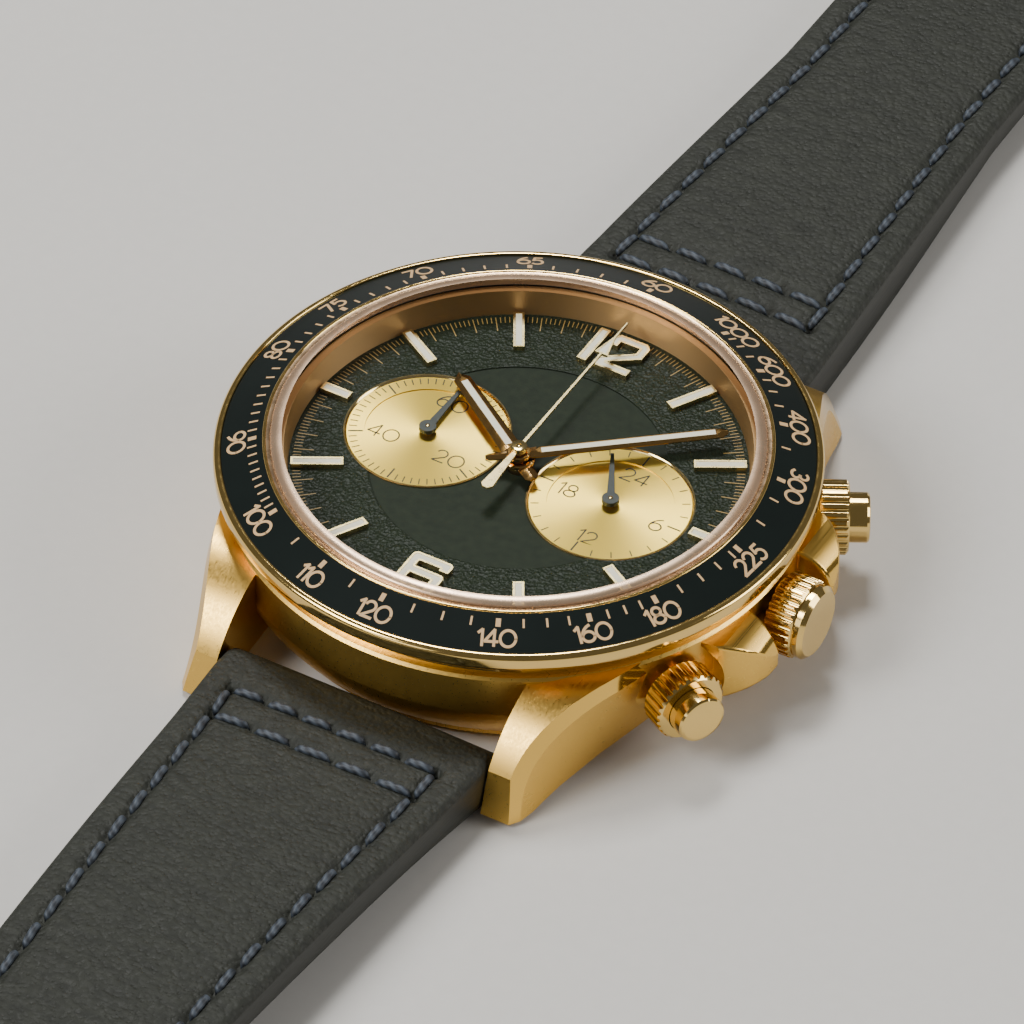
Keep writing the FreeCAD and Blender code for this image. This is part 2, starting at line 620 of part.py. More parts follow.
# ---- dial -------------------------------------------------------------------------------
def dial():
    body = disc(DIAL_R, DIAL_FOOT, DIAL_TOP)
    body = body.cut(disc(CENTRE_FIELD_R, DIAL_TOP - CENTRE_FIELD_SINK, DIAL_TOP))
    body = body.cut(disc(HOUR_TUBE_R + 2 * FIT, DIAL_FOOT, DIAL_TOP))
    floor = DIAL_TOP - SUBDIAL_SINK - SUBDIAL_THICK
    for x in (-SUBDIAL_X, SUBDIAL_X):
        body = body.cut(disc(SUBDIAL_R + 0.02, floor, DIAL_TOP, (x, 0.0)))
        body = body.cut(disc(SMALL_ARBOR_R + FIT, DIAL_FOOT, DIAL_TOP, (x, 0.0)))
    return body


def subdial(x):
    top = DIAL_TOP - SUBDIAL_SINK
    body = disc(SUBDIAL_R, top - SUBDIAL_THICK, top, (x, 0.0))
    body = body.cut(disc(SUBDIAL_DISH_R, top - SUBDIAL_DISH, top, (x, 0.0)))
    return body.cut(disc(SMALL_ARBOR_R + FIT, top - SUBDIAL_THICK, top, (x, 0.0)))


def baton(inner_r, degrees, width, z0, z1, margin=0.0):
    bar = box(inner_r + margin, MARKER_OUT_R - margin, -0.5 * width, 0.5 * width, z0, z1)
    return spun(bar, 90.0 - degrees)


def plan_face(points):
    return Part.Face(outline_at(points, 0.0))


def numeral_one():
    """The 1 of 12: a plain upright bar."""
    low = NUMERAL_OUT_Y - NUMERAL_HEIGHT
    return plan_face([(-2.1, low), (-1.35, low), (-1.35, NUMERAL_OUT_Y), (-2.1, NUMERAL_OUT_Y)])


def numeral_two():
    """The 2 of 12: square shoulders, a straight diagonal and a flat foot."""
    top = NUMERAL_OUT_Y
    low = NUMERAL_OUT_Y - NUMERAL_HEIGHT
    s = NUMERAL_STROKE - 0.08
    left, right = -0.82, 2.1
    return plan_face([
        (left, top - 1.22), (left, top - 0.4), (left + 0.4, top), (right - 0.38, top), (right, top - 0.38),
        (right, top - 1.62), (0.0, low + s), (right - 0.1, low + s), (right - 0.1, low), (left, low),
        (left, low + s + 0.2), (right - s, top - 1.28), (right - s, top - s), (left + s, top - s),
        (left + s, top - 1.22)])


def numeral_six():
    """The 6 with round corners, and the opening of its loop."""
    low = -NUMERAL_OUT_Y
    top = low + SIX_HEIGHT
    w = SIX_HALF
    s = NUMERAL_STROKE
    r = SIX_ROUNDING
    shelf = top - s - SIX_SLOT
    hook = top - s - SIX_HOOK
    outer = [((-w + s, shelf), 0), ((w, shelf), r), ((w, low), r), ((-w, low), r), ((-w, top), r),
             ((w, top), r), ((w, hook), 0.2 * r), ((w - s, hook), 0.2 * r), ((w - s, top - s), 0),
             ((-w + s, top - s), 0.3 * r)]
    hole = [(-w + s, low + s), (-w + s, shelf - s), (w - s, shelf - s), (w - s, low + s)]
    return plan_face(eased(outer)).cut(plan_face(hole)).Faces[0]


def eased(corners):
    """Outline through corners, each given with the radius it is rounded to (0 leaves it sharp)."""
    outline = []
    for i, (corner, radius) in enumerate(corners):
        if radius == 0:
            outline.append(corner)
            continue
        here = vec(*corner)
        before = (vec(*corners[i - 1][0]) - here).normalize()
        after = (vec(*corners[(i + 1) % len(corners)][0]) - here).normalize()
        half = 0.5 * before.getAngle(after)
        start, end = (here + d * (radius / math.tan(half)) for d in (before, after))
        middle = here + (before + after).normalize() * (radius / math.sin(half) - radius)
        outline.append((start.x, start.y))
        outline.append(((middle.x, middle.y), (end.x, end.y)))
    return outline


def hour_markers():
    """Applied batons and numerals, each with a channel for the luminous inlay."""
    solids = []
    floor = MARKER_TOP - INLAY_DEPTH
    for hour in (1, 2, 3, 4, 5, 7, 8, 9, 10, 11):
        inner = SHORT_BATON_IN_R if hour in (3, 9) else BATON_IN_R
        blank = baton(inner, hour * 30.0, BATON_WIDTH, DIAL_TOP, MARKER_TOP)
        solids.append(blank.cut(baton(inner, hour * 30.0, INLAY_WIDTH, floor, MARKER_TOP, 0.15)))
    inset = 0.5 * (BATON_WIDTH - INLAY_WIDTH)
    for figure in (numeral_one(), numeral_two(), numeral_six()):
        blank = raised(figure, DIAL_TOP, MARKER_TOP)
        solids.append(blank.cut(raised(figure, floor, MARKER_TOP, inset)))
    return group(solids)


def raised(figure, z0, z1, inset=0.0):
    """Prism on a plan figure, drawn in all round by an inset."""
    base = figure.makeOffset2D(-inset).Faces[0] if inset else figure
    solid = base.extrude(vec(0, 0, z1 - z0))
    solid.translate(vec(0, 0, z0))
    return solid


def marker_lume():
    solids = []
    floor = MARKER_TOP - INLAY_DEPTH
    top = MARKER_TOP - 0.03
    for hour in (1, 2, 3, 4, 5, 7, 8, 9, 10, 11):
        inner = SHORT_BATON_IN_R if hour in (3, 9) else BATON_IN_R
        solids.append(baton(inner, hour * 30.0, INLAY_WIDTH - 0.01, floor, top, 0.16))
    inset = 0.5 * (BATON_WIDTH - INLAY_WIDTH) + 0.005
    solids += [raised(figure, floor, top, inset) for figure in (numeral_one(), numeral_two(), numeral_six())]
    return group(solids)


# ---- hands ------------------------------------------------------------------------------
def pointed_hand(length, width, tail, z, bore):
    """Flat blade along +Y with a blunt point, a short tail and a round boss."""
    half = 0.5 * width
    blade = plate([(-half, -tail + 0.3), (-half + 0.3, -tail), (half - 0.3, -tail), (half, -tail + 0.3),
                   (half, length - 0.55), (0.12, length), (-0.12, length), (-half, length - 0.55)],
                  z, z + HAND_THICK)
    boss = disc(bore + 0.42, z, z + HAND_THICK)
    return joined([blade, boss])


def lume_channel(length, z0, z1, shrink=0.0):
    half = 0.5 * HAND_LUME_WIDTH - shrink
    return box(-half, half, HAND_LUME_START + shrink, length - HAND_LUME_STOP - shrink, z0, z1)


def lumed_hand(length, width, z, bore, angle):
    """The hand and its inlay, both turned to the photographed angle."""
    floor = z + HAND_THICK - INLAY_DEPTH
    top = z + HAND_THICK
    blade = pointed_hand(length, width, HAND_TAIL, z, bore)
    blade = blade.cut(lume_channel(length, floor, top)).cut(disc(bore, z, top))
    inlay = lume_channel(length, floor, top - 0.02, 0.005)
    return spun(blade, -angle), spun(inlay, -angle)


def sweep_hand():
    """Thin chronograph seconds hand with a paddle tail and a triangle near its tip."""
    z0 = SWEEP_HAND_Z
    z1 = z0 + HAND_THICK - 0.05
    half = 0.5 * SWEEP_WIDTH
    wide = 0.5 * SWEEP_TAIL_WIDTH
    needle = plate([(-half, 0.0), (half, 0.0), (0.5 * half, SWEEP_LENGTH), (-0.5 * half, SWEEP_LENGTH)],
                   z0, z1)
    tail = plate([(-half, 0.0), (half, 0.0), (wide, -SWEEP_TAIL + 0.3), (wide - 0.25, -SWEEP_TAIL),
                  (-wide + 0.25, -SWEEP_TAIL), (-wide, -SWEEP_TAIL + 0.3)], z0, z1)
    tip = 0.5 * SWEEP_TIP_WIDTH
    frame = plate([(-tip, SWEEP_TIP_START), (tip, SWEEP_TIP_START), (0.0, SWEEP_TIP_STOP)], z0, z1)
    boss = disc(0.6, z0, z1 + 0.1)
    whole = joined([needle, tail, frame, boss])
    pocket = sweep_triangle(z1 - INLAY_DEPTH, z1, 0.14)
    return whole.cut(pocket).cut(disc(SWEEP_ARBOR_R, z0, z1 + 0.1))


def sweep_triangle(z0, z1, inset):
    half = 0.5 * SWEEP_TIP_WIDTH - 1.4 * inset
    return plate([(-half, SWEEP_TIP_START + inset), (half, SWEEP_TIP_START + inset),
                  (0.0, SWEEP_TIP_STOP - 3.2 * inset)], z0, z1)


def sweep_lume():
    top = SWEEP_HAND_Z + HAND_THICK - 0.05
    return sweep_triangle(top - INLAY_DEPTH, top - 0.02, 0.15)


def small_hand(x, angle):
    """Register hand: round hub and a slim tapered pointer."""
    z0, z1 = SMALL_HAND_Z, SMALL_HAND_Z + SMALL_HAND_THICK
    pointer = plate([(-0.3, 0.0), (0.3, 0.0), (0.12, SMALL_HAND_LENGTH), (-0.12, SMALL_HAND_LENGTH)], z0, z1)
    hub = disc(SMALL_HUB_R, z0, SMALL_HUB_TOP)
    whole = joined([pointer, hub]).cut(disc(SMALL_ARBOR_R, z0, SMALL_HUB_TOP - 0.06))
    whole = spun(whole, -angle)
    whole.translate(vec(x, 0.0, 0.0))
    return whole


# ---- movement: fixed pieces -------------------------------------------------------------
def third_centre():
    return polar(THIRD_DISTANCE, THIRD_DIRECTION)


def rotor_centre():
    return polar(THIRD_DISTANCE + MOTOR_DISTANCE, THIRD_DIRECTION)


def step_centre():
    """Where circles about the sweep pinion and the counter wheel cross, above the line of centres."""
    x = (STEP_DISTANCE ** 2 - COUNTER_DISTANCE ** 2 + SUBDIAL_X ** 2) / (2 * SUBDIAL_X)
    return (-x, math.sqrt(STEP_DISTANCE ** 2 - x ** 2))


def lever_pivot(sign):
    """Pivot of the lever behind a button. The lever lies across the button's line."""
    a = math.radians(BUTTON_ANGLE)
    u = BUTTON_TIP - LEVER_GAP - 0.5 * LEVER_WIDTH
    return (u * math.cos(a) - LEVER_ARM * math.sin(a),
            sign * (u * math.sin(a) + LEVER_ARM * math.cos(a)))


PILLARS = [(-9.5, 6.5), (6.9, 1.9), (-7.0, -5.7)]


def movement_holder():
    body = ring(BORE_R - SEAT, HOLDER_IN_R, HOLDER_FOOT, DIAL_FOOT - SEAT)
    tools = [rod_x(0.9, HOLDER_IN_R - 1.0, BORE_R + 1.0, STEM_Z)]
    for sign in (1, -1):
        tools.append(spun(rod_x(1.0, HOLDER_IN_R - 1.0, BORE_R + 1.0, BUTTON_Z), sign * BUTTON_ANGLE))
    return without(body, tools)


def mainplate():
    """The plate that everything turns in, with pillars, lever posts, stem bearings and two studs."""
    pieces = [disc(PLATE_R, PLATE_Z, PLATE_TOP)]
    pieces += [disc(0.9, BRIDGE_TOP, PLATE_Z, p) for p in PILLARS]
    pieces += [disc(LEVER_POST_R, LEVER_Z - 0.2, PLATE_Z, lever_pivot(sign)) for sign in (1, -1)]
    pieces.append(disc(PIVOT_R, PLATE_TOP, DIAL_FOOT - 0.2, (0.0, MOTION_DISTANCE)))
    pieces.append(disc(PIVOT_R, PLATE_TOP, DIAL_FOOT - 0.2, (IDLER_DISTANCE, 0.0)))
    outer_bearing = GROOVE_X + GROOVE_WIDTH + CROWN_PULL + 0.2
    pieces.append(box(outer_bearing, PLATE_R - 0.2, -1.4, 1.4, STEM_Z - 0.95, PLATE_Z))
    pieces.append(box(STEM_IN_X + 0.5, CLUTCH_X - 0.35, -1.2, 1.2, STEM_Z - 0.8, PLATE_Z))
    body = joined(pieces)
    tools = [disc(CANNON_R + FIT, PLATE_Z, PLATE_TOP)]
    tools += [disc(SMALL_ARBOR_R + FIT, PLATE_Z, PLATE_TOP, (x, 0.0)) for x in (-SUBDIAL_X, SUBDIAL_X)]
    tools += [disc(PIVOT_R + 0.04, PLATE_Z, PLATE_TOP, p) for p in (third_centre(), step_centre())]
    tools.append(disc(ROTOR_PIVOT_R + 0.04, PLATE_Z, PLATE_TOP, rotor_centre()))
    tools += [disc(SCREW_R, BRIDGE_TOP, PLATE_Z, p) for p in PILLARS]
    tools.append(rod_x(STEM_R + FIT, outer_bearing - 1.0, PLATE_R + 1.0, STEM_Z))
    tools.append(rod_x(GROOVE_R + FIT, STEM_IN_X, CLUTCH_X, STEM_Z))
    return without(body, tools)


def train_bridge():
    outline = [(-11.4, -2.0), (-8.2, -7.0), (-5.8, -7.0), (-2.0, -3.2), (4.5, -3.2), (8.2, 0.6),
               (8.2, 3.2), (4.6, 6.9), (-9.5, 8.0), (-11.0, 6.8)]
    body = plate(outline, BRIDGE_Z, BRIDGE_TOP)
    tools = [disc(BATTERY_R + 0.25, BRIDGE_Z, BRIDGE_TOP, (0.0, BATTERY_Y))]
    tools.append(disc(SWEEP_ARBOR_R + 0.04, BRIDGE_Z, BRIDGE_TOP))
    tools.append(disc(SMALL_ARBOR_R + 0.04, BRIDGE_Z, BRIDGE_TOP, (-SUBDIAL_X, 0.0)))
    tools += [disc(PIVOT_R + 0.04, BRIDGE_Z, BRIDGE_TOP, p) for p in (third_centre(), step_centre())]
    tools.append(disc(ROTOR_PIVOT_R + 0.04, BRIDGE_Z, BRIDGE_TOP, rotor_centre()))
    tools += [disc(SCREW_R + 0.03, BRIDGE_Z, BRIDGE_TOP, p) for p in PILLARS]
    return without(body, tools)


def bridge_screws():
    screws = []
    for p in PILLARS:
        shank = disc(SCREW_R - 0.01, BRIDGE_Z, PLATE_Z - 0.3, p)
        head = disc(SCREW_HEAD_R, BRIDGE_Z - SCREW_HEAD, BRIDGE_Z, p)
        slot = box(p[0] - 1.0, p[0] + 1.0, p[1] - 0.1, p[1] + 0.1,
                   BRIDGE_Z - SCREW_HEAD, BRIDGE_Z - 0.5 * SCREW_HEAD)
        screws.append(joined([shank, head]).cut(slot))
    return group(screws)


def circuit_board():
    board = disc(PLATE_R - 0.6, BOARD_Z, BOARD_Z + BOARD_THICK)
    top = BOARD_Z + BOARD_THICK
    chip = box(5.4 - PLATE_R, 8.4 - PLATE_R, PLATE_R - 5.6, PLATE_R - 3.4, top, top + 0.8)
    crystal_can = box(PLATE_R - 5.5, PLATE_R - 1.4, -1.6, -0.3, top, top + 0.7)
    board = joined([board, chip, crystal_can])
    board = board.cut(disc(BATTERY_R + 0.25, BOARD_Z, BOARD_Z + BOARD_THICK, (0.0, BATTERY_Y)))
    for p in PILLARS:
        board = board.cut(disc(SCREW_HEAD_R + 0.2, BOARD_Z, BOARD_Z + BOARD_THICK, p))
    return board


def battery():
    can = disc(BATTERY_R, BATTERY_Z, BATTERY_Z + BATTERY_THICK - 0.4, (0.0, BATTERY_Y))
    lid = disc(BATTERY_R - 0.5, BATTERY_Z, BATTERY_Z + BATTERY_THICK, (0.0, BATTERY_Y))
    return joined([can, lid])


def motor_leg_x():
    return COIL_HALF + 0.6


def stator():
    """Flat core of the stepping motor: a bar round the rotor and two legs to the coil's ends."""
    rx, ry = rotor_centre()
    z1 = STATOR_Z + STATOR_THICK
    leg = motor_leg_x()
    bar_low, bar_high = ry - 0.1, ry + 1.4
    pieces = [box(-leg, leg, bar_low, bar_high, STATOR_Z, z1), disc(1.9, STATOR_Z, z1, (rx, ry))]
    pieces += [box(s * leg - 0.55, s * leg + 0.55, bar_low, COIL_Y + 1.1, STATOR_Z, z1) for s in (-1, 1)]
    body = joined(pieces)
    body = body.cut(disc(ROTOR_R + 0.15, STATOR_Z, z1, (rx, ry)))
    return body.cut(disc(PIVOT_R + 0.3, STATOR_Z, z1, third_centre()))


def coil():
    """Bobbin: two cheeks and the winding between them."""
    z = STATOR_Z + 0.5 * STATOR_THICK
    winding = rod_x(COIL_R - 0.15, -COIL_HALF + 0.4, COIL_HALF - 0.4, z, COIL_Y)
    cheeks = [rod_x(COIL_R, x, x + 0.4, z, COIL_Y) for x in (-COIL_HALF, COIL_HALF - 0.4)]
    return joined([winding] + cheeks)


# ---- movement: turning pieces -----------------------------------------------------------
def cannon_pinion():
    """Tube on the sweep arbor: centre wheel below the plate, cannon teeth above it, minute hand on top."""
    tube = ring(CANNON_R, SWEEP_ARBOR_R + FIT, CENTRE_WHEEL_Z - 0.2, MINUTE_HAND_Z + HAND_THICK)
    wheel = gear(CENTRE_TEETH, CENTRE_MODULE, CENTRE_WHEEL_Z, CENTRE_WHEEL_Z + WHEEL_THICK,
                 WATCH_CENTRE, 0.0, CANNON_R - 0.1)
    teeth = gear(CANNON_TEETH, CANNON_MODULE, MOTION_Z, MOTION_Z + 0.35, WATCH_CENTRE, 0.0, CANNON_R - 0.1)
    return joined([tube, wheel, teeth])


def motion_wheel():
    """Minute wheel of the motion work, with the pinion that drives the hour wheel."""
    at = (0.0, MOTION_DISTANCE)
    bore = PIVOT_R + FIT
    phase = mesh_phase(90.0, 0.0, CANNON_TEETH, MOTION_TEETH)
    wheel = gear(MOTION_TEETH, CANNON_MODULE, MOTION_Z, MOTION_Z + WHEEL_THICK, at, phase, bore)
    phase = mesh_phase(90.0, 0.0, HOUR_TEETH, MOTION_PINION_TEETH)
    pinion = gear(MOTION_PINION_TEETH, HOUR_MODULE, MOTION_Z + WHEEL_THICK, HOUR_WHEEL_Z + WHEEL_THICK,
                  at, phase, bore)
    return joined([wheel, pinion])


def hour_wheel():
    wheel = gear(HOUR_TEETH, HOUR_MODULE, HOUR_WHEEL_Z, HOUR_WHEEL_Z + WHEEL_THICK,
                 WATCH_CENTRE, 0.0, CANNON_R + FIT)
    tube = ring(HOUR_TUBE_R, CANNON_R + FIT, HOUR_WHEEL_Z, HOUR_HAND_Z + HAND_THICK)
    return joined([wheel, tube])


def idler_phase():
    return mesh_phase(0.0, 0.0, HOUR_TEETH, IDLER_TEETH)


def idler_wheel():
    return gear(IDLER_TEETH, HOUR_MODULE, HOUR_WHEEL_Z, HOUR_WHEEL_Z + WHEEL_THICK,
                (IDLER_DISTANCE, 0.0), idler_phase(), PIVOT_R + FIT)


def day_wheel():
    at = (SUBDIAL_X, 0.0)
    phase = mesh_phase(0.0, idler_phase(), IDLER_TEETH, DAY_TEETH)
    wheel = gear(DAY_TEETH, HOUR_MODULE, HOUR_WHEEL_Z, HOUR_WHEEL_Z + WHEEL_THICK,
                 at, phase, SMALL_ARBOR_R - 0.05)
    arbor = disc(SMALL_ARBOR_R, PLATE_Z + 0.1, SMALL_HUB_TOP - 0.06, at)
    return joined([wheel, arbor])


def third_wheel():
    at = third_centre()
    phase = mesh_phase(THIRD_DIRECTION, 0.0, CENTRE_TEETH, THIRD_PINION_TEETH)
    pinion = gear(THIRD_PINION_TEETH, CENTRE_MODULE, CENTRE_WHEEL_Z - 0.1, THIRD_WHEEL_Z,
                  at, phase, PIVOT_R - 0.05)
    wheel = gear(THIRD_TEETH, THIRD_MODULE, THIRD_WHEEL_Z, THIRD_WHEEL_Z + 0.2, at, 0.0, PIVOT_R - 0.05)
    arbor = disc(PIVOT_R, BRIDGE_Z + 0.05, PLATE_Z + 0.5, at)
    return joined([pinion, wheel, arbor])


def rotor():
    """Stepping-motor magnet with its fine pinion."""
    at = rotor_centre()
    magnet = disc(ROTOR_R, ROTOR_Z, ROTOR_Z + ROTOR_HEIGHT, at)
    phase = mesh_phase(THIRD_DIRECTION, 0.0, THIRD_TEETH, ROTOR_TEETH)
    pinion = gear(ROTOR_TEETH, THIRD_MODULE, THIRD_WHEEL_Z - 0.15, THIRD_WHEEL_Z + 0.35, at, phase, 0.05)
    arbor = disc(ROTOR_PIVOT_R, BRIDGE_Z + 0.05, PLATE_Z + 0.5, at)
    return joined([magnet, pinion, arbor])


def sweep_arbor():
    """Arbor of the chronograph seconds hand, through the whole movement, with its pinion."""
    arbor = disc(SWEEP_ARBOR_R, BRIDGE_Z + 0.05, SWEEP_HAND_Z + HAND_THICK + 0.08)
    pinion = gear(SWEEP_PINION_TEETH, SWEEP_MODULE, STEP_WHEEL_Z - 0.1, STEP_WHEEL_Z + WHEEL_THICK + 0.1,
                  WATCH_CENTRE, 0.0, SWEEP_ARBOR_R - 0.05)
    return joined([arbor, pinion])


def step_direction():
    x, y = step_centre()
    return math.degrees(math.atan2(y, x))


def counter_direction():
    x, y = step_centre()
    return math.degrees(math.atan2(-y, -SUBDIAL_X - x))


def step_wheel():
    """Reduction wheel between the sweep arbor and the minute counter."""
    at = step_centre()
    phase = mesh_phase(step_direction(), 0.0, SWEEP_PINION_TEETH, STEP_TEETH)
    wheel = gear(STEP_TEETH, SWEEP_MODULE, STEP_WHEEL_Z, STEP_WHEEL_Z + WHEEL_THICK, at, phase,
                 PIVOT_R - 0.05)
    pinion = gear(STEP_PINION_TEETH, COUNTER_MODULE, STEP_WHEEL_Z + WHEEL_THICK,
                  COUNTER_WHEEL_Z + WHEEL_THICK + 0.1, at, 0.0, PIVOT_R - 0.05)
    arbor = disc(PIVOT_R, BRIDGE_Z + 0.05, PLATE_Z + 0.5, at)
    return joined([wheel, pinion, arbor])


def counter_wheel():
    at = (-SUBDIAL_X, 0.0)
    phase = mesh_phase(counter_direction(), 0.0, STEP_PINION_TEETH, COUNTER_TEETH)
    wheel = gear(COUNTER_TEETH, COUNTER_MODULE, COUNTER_WHEEL_Z, COUNTER_WHEEL_Z + WHEEL_THICK,
                 at, phase, SMALL_ARBOR_R - 0.05)
    arbor = disc(SMALL_ARBOR_R, BRIDGE_Z + 0.05, SMALL_HUB_TOP - 0.06, at)
    return joined([wheel, arbor])


# ---- crown and stem ---------------------------------------------------------------------
def fluted(radius, x0, x1, z, count, flute_r):
    """Disc along X with round-bottomed flutes along its edge."""
    body = rod_x(radius, x0, x1, z)
    grooves = []
    for i in range(count):
        a = 2 * math.pi * i / count
        y = (radius + 0.25 * flute_r) * math.cos(a)
        h = (radius + 0.25 * flute_r) * math.sin(a)
        grooves.append(rod_x(flute_r, x0 - 0.1, x1 + 0.1, z + h, y))
    return body.cut(group(grooves))


def crown():
    knurl_out = CROWN_KNURL_OUT_X
    knurl = fluted(CROWN_R, CROWN_IN_X, knurl_out, STEM_Z, CROWN_FLUTES, CROWN_FLUTE_R)
    ease = 0.25
    trim = turned_x([(CROWN_IN_X, 0.0), (CROWN_IN_X, CROWN_R - ease), (CROWN_IN_X + ease, CROWN_R),
                     (knurl_out - ease, CROWN_R), (knurl_out, CROWN_R - ease), (knurl_out, 0.0)], STEM_Z)
    head = turned_x([(knurl_out - 0.01, 0.0), (knurl_out - 0.01, CROWN_RIM_R - 0.2),
                     (knurl_out + 0.15, CROWN_RIM_R - 0.2), (knurl_out + 0.2, CROWN_RIM_R),
                     (CROWN_OUT_X - 0.32, CROWN_RIM_R), (CROWN_OUT_X, CROWN_FACE_R),
                     (CROWN_OUT_X, 0.0)], STEM_Z)
    body = joined([knurl.common(trim), head])
    body = body.cut(rod_x(TUBE_R + FIT, CROWN_IN_X, TUBE_OUT_X + 0.3, STEM_Z))
    return body.cut(rod_x(STEM_R, CROWN_IN_X, CROWN_OUT_X - 0.7, STEM_Z))


def stem():
    groove_end = GROOVE_X + GROOVE_WIDTH
    return turned_x([
        (STEM_IN_X, 0.0), (STEM_IN_X, GROOVE_R), (CLUTCH_X - 0.1, GROOVE_R), (CLUTCH_X - 0.1, STEM_R),
        (GROOVE_X, STEM_R), (GROOVE_X, GROOVE_R), (groove_end, GROOVE_R), (groove_end, STEM_R),
        (CROWN_OUT_X - 0.7, STEM_R), (CROWN_OUT_X - 0.7, 0.0)], STEM_Z)


def sliding_pinion():
    toothed = fluted(CLUTCH_R, CLUTCH_X, CLUTCH_X + CLUTCH_LENGTH, STEM_Z, 12, 0.14)
    return toothed.cut(rod_x(STEM_R, CLUTCH_X, CLUTCH_X + CLUTCH_LENGTH, STEM_Z))


def crown_tube():
    return rod_x(TUBE_R, BORE_R + 0.1, TUBE_OUT_X, STEM_Z).cut(
        rod_x(STEM_R + FIT, BORE_R, TUBE_OUT_X, STEM_Z))


def setting_lever():
    """Flat fork that sits in the stem's groove and holds the crown in or out."""
    play = 0.05
    x0, x1 = GROOVE_X + play, GROOVE_X + GROOVE_WIDTH - play
    body = box(x0, x1, -1.5, 1.5, STEM_Z - 0.7, STEM_Z + 1.05)
    slot = box(x0, x1, -GROOVE_R - play, GROOVE_R + play, STEM_Z - 0.7, STEM_Z)
    return body.cut(slot).cut(rod_x(GROOVE_R + play, x0, x1, STEM_Z))


# ---- push buttons -----------------------------------------------------------------------
def button(sign):
    whole = turned_x([
        (BUTTON_TIP, 0.0), (BUTTON_TIP, BUTTON_TIP_R), (BUTTON_TIP + 0.5, BUTTON_STEM_R),
        (CAP_IN, BUTTON_STEM_R), (CAP_IN, CAP_R), (CAP_OUT - 0.22, CAP_R), (CAP_OUT - 0.06, CAP_R - 0.1),
        (CAP_OUT, CAP_R - 0.28), (CAP_OUT, 0.0)], BUTTON_Z)
    return spun(whole, sign * BUTTON_ANGLE)


def button_collar(sign):
    head = fluted(COLLAR_R, COLLAR_IN, COLLAR_OUT, BUTTON_Z, COLLAR_FLUTES, COLLAR_FLUTE_R)
    ease = 0.22
    trim = turned_x([(COLLAR_IN, 0.0), (COLLAR_IN, COLLAR_R - ease), (COLLAR_IN + ease, COLLAR_R),
                     (COLLAR_OUT - ease, COLLAR_R), (COLLAR_OUT, COLLAR_R - ease), (COLLAR_OUT, 0.0)],
                    BUTTON_Z)
    neck = rod_x(COLLAR_NECK_R, COLLAR_NECK_IN, COLLAR_IN, BUTTON_Z)
    body = joined([head.common(trim), neck])
    tools = [rod_x(BUTTON_STEM_R + FIT, COLLAR_NECK_IN, COLLAR_OUT, BUTTON_Z)]
    tools.append(rod_x(SPRING_CHAMBER_R, SPRING_CHAMBER_IN, COLLAR_OUT, BUTTON_Z))
    tools.append(rod_x(CAP_R + FIT, CAP_IN - BUTTON_TRAVEL - 0.1, COLLAR_OUT, BUTTON_Z))
    return spun(without(body, tools), sign * BUTTON_ANGLE)


def button_spring(sign):
    """Coil spring between the collar's shoulder and the cap."""
    half = 0.5 * SPRING_WIRE
    start = SPRING_CHAMBER_IN + half + 0.02
    length = CAP_IN - half - 0.02 - start
    radius = 0.5 * (BUTTON_STEM_R + SPRING_CHAMBER_R)
    helix = Part.makeHelix(length / SPRING_TURNS, length, radius)
    loop = wire([(radius + i * half, 0.0, j * half) for i, j in ((1, 1), (-1, 1), (-1, -1), (1, -1))])
    coil_wire = Part.Wire(helix.Edges).makePipeShell([loop], True, True)
    coil_wire.rotate(ORIGIN, ALONG_Y, 90)
    coil_wire.translate(vec(start, 0, BUTTON_Z))
    return spun(coil_wire, sign * BUTTON_ANGLE)


def button_lever(sign):
    """Flat lever that a button's stem pushes. It turns about its post on the mainplate."""
    px, py = lever_pivot(1)
    a = BUTTON_ANGLE
    u = BUTTON_TIP - LEVER_GAP
    arm = box(u - LEVER_WIDTH, u, -0.6, LEVER_ARM, LEVER_Z, LEVER_Z + LEVER_THICK)
    toe = box(u - 1.3, u - 0.3 * LEVER_WIDTH, LEVER_ARM - 0.35, LEVER_ARM + 0.35,
              LEVER_Z, LEVER_Z + LEVER_THICK)
    hub = disc(LEVER_HUB_R, LEVER_Z, LEVER_Z + LEVER_THICK, (px, py))
    body = joined([spun(arm, a), spun(toe, a), hub])
    body = body.cut(disc(LEVER_POST_R + FIT, LEVER_Z, LEVER_Z + LEVER_THICK, (px, py)))
    return body if sign > 0 else body.mirror(ORIGIN, ALONG_Y)


# ---- strap ------------------------------------------------------------------------------
def curve_through(points):
    """Smooth edge through (y, z) points in the plane x = 0."""
    spline = Part.BSplineCurve()
    spline.interpolate([vec(0, y, z) for y, z in points])
    return spline.toShape()


def strap_slab(top, low):
    """Slab across the strap's whole width between two smooth side curves."""
    ends = [Part.LineSegment(vec(0, *top[0]), vec(0, *low[0])).toShape(),
            Part.LineSegment(vec(0, *top[-1]), vec(0, *low[-1])).toShape()]
    outline = Part.Wire(Part.__sortEdges__([curve_through(top), curve_through(low)] + ends))
    slab = Part.Face(outline).extrude(vec(LUG_GAP, 0, 0))
    slab.translate(vec(-0.5 * LUG_GAP, 0, 0))
    return slab


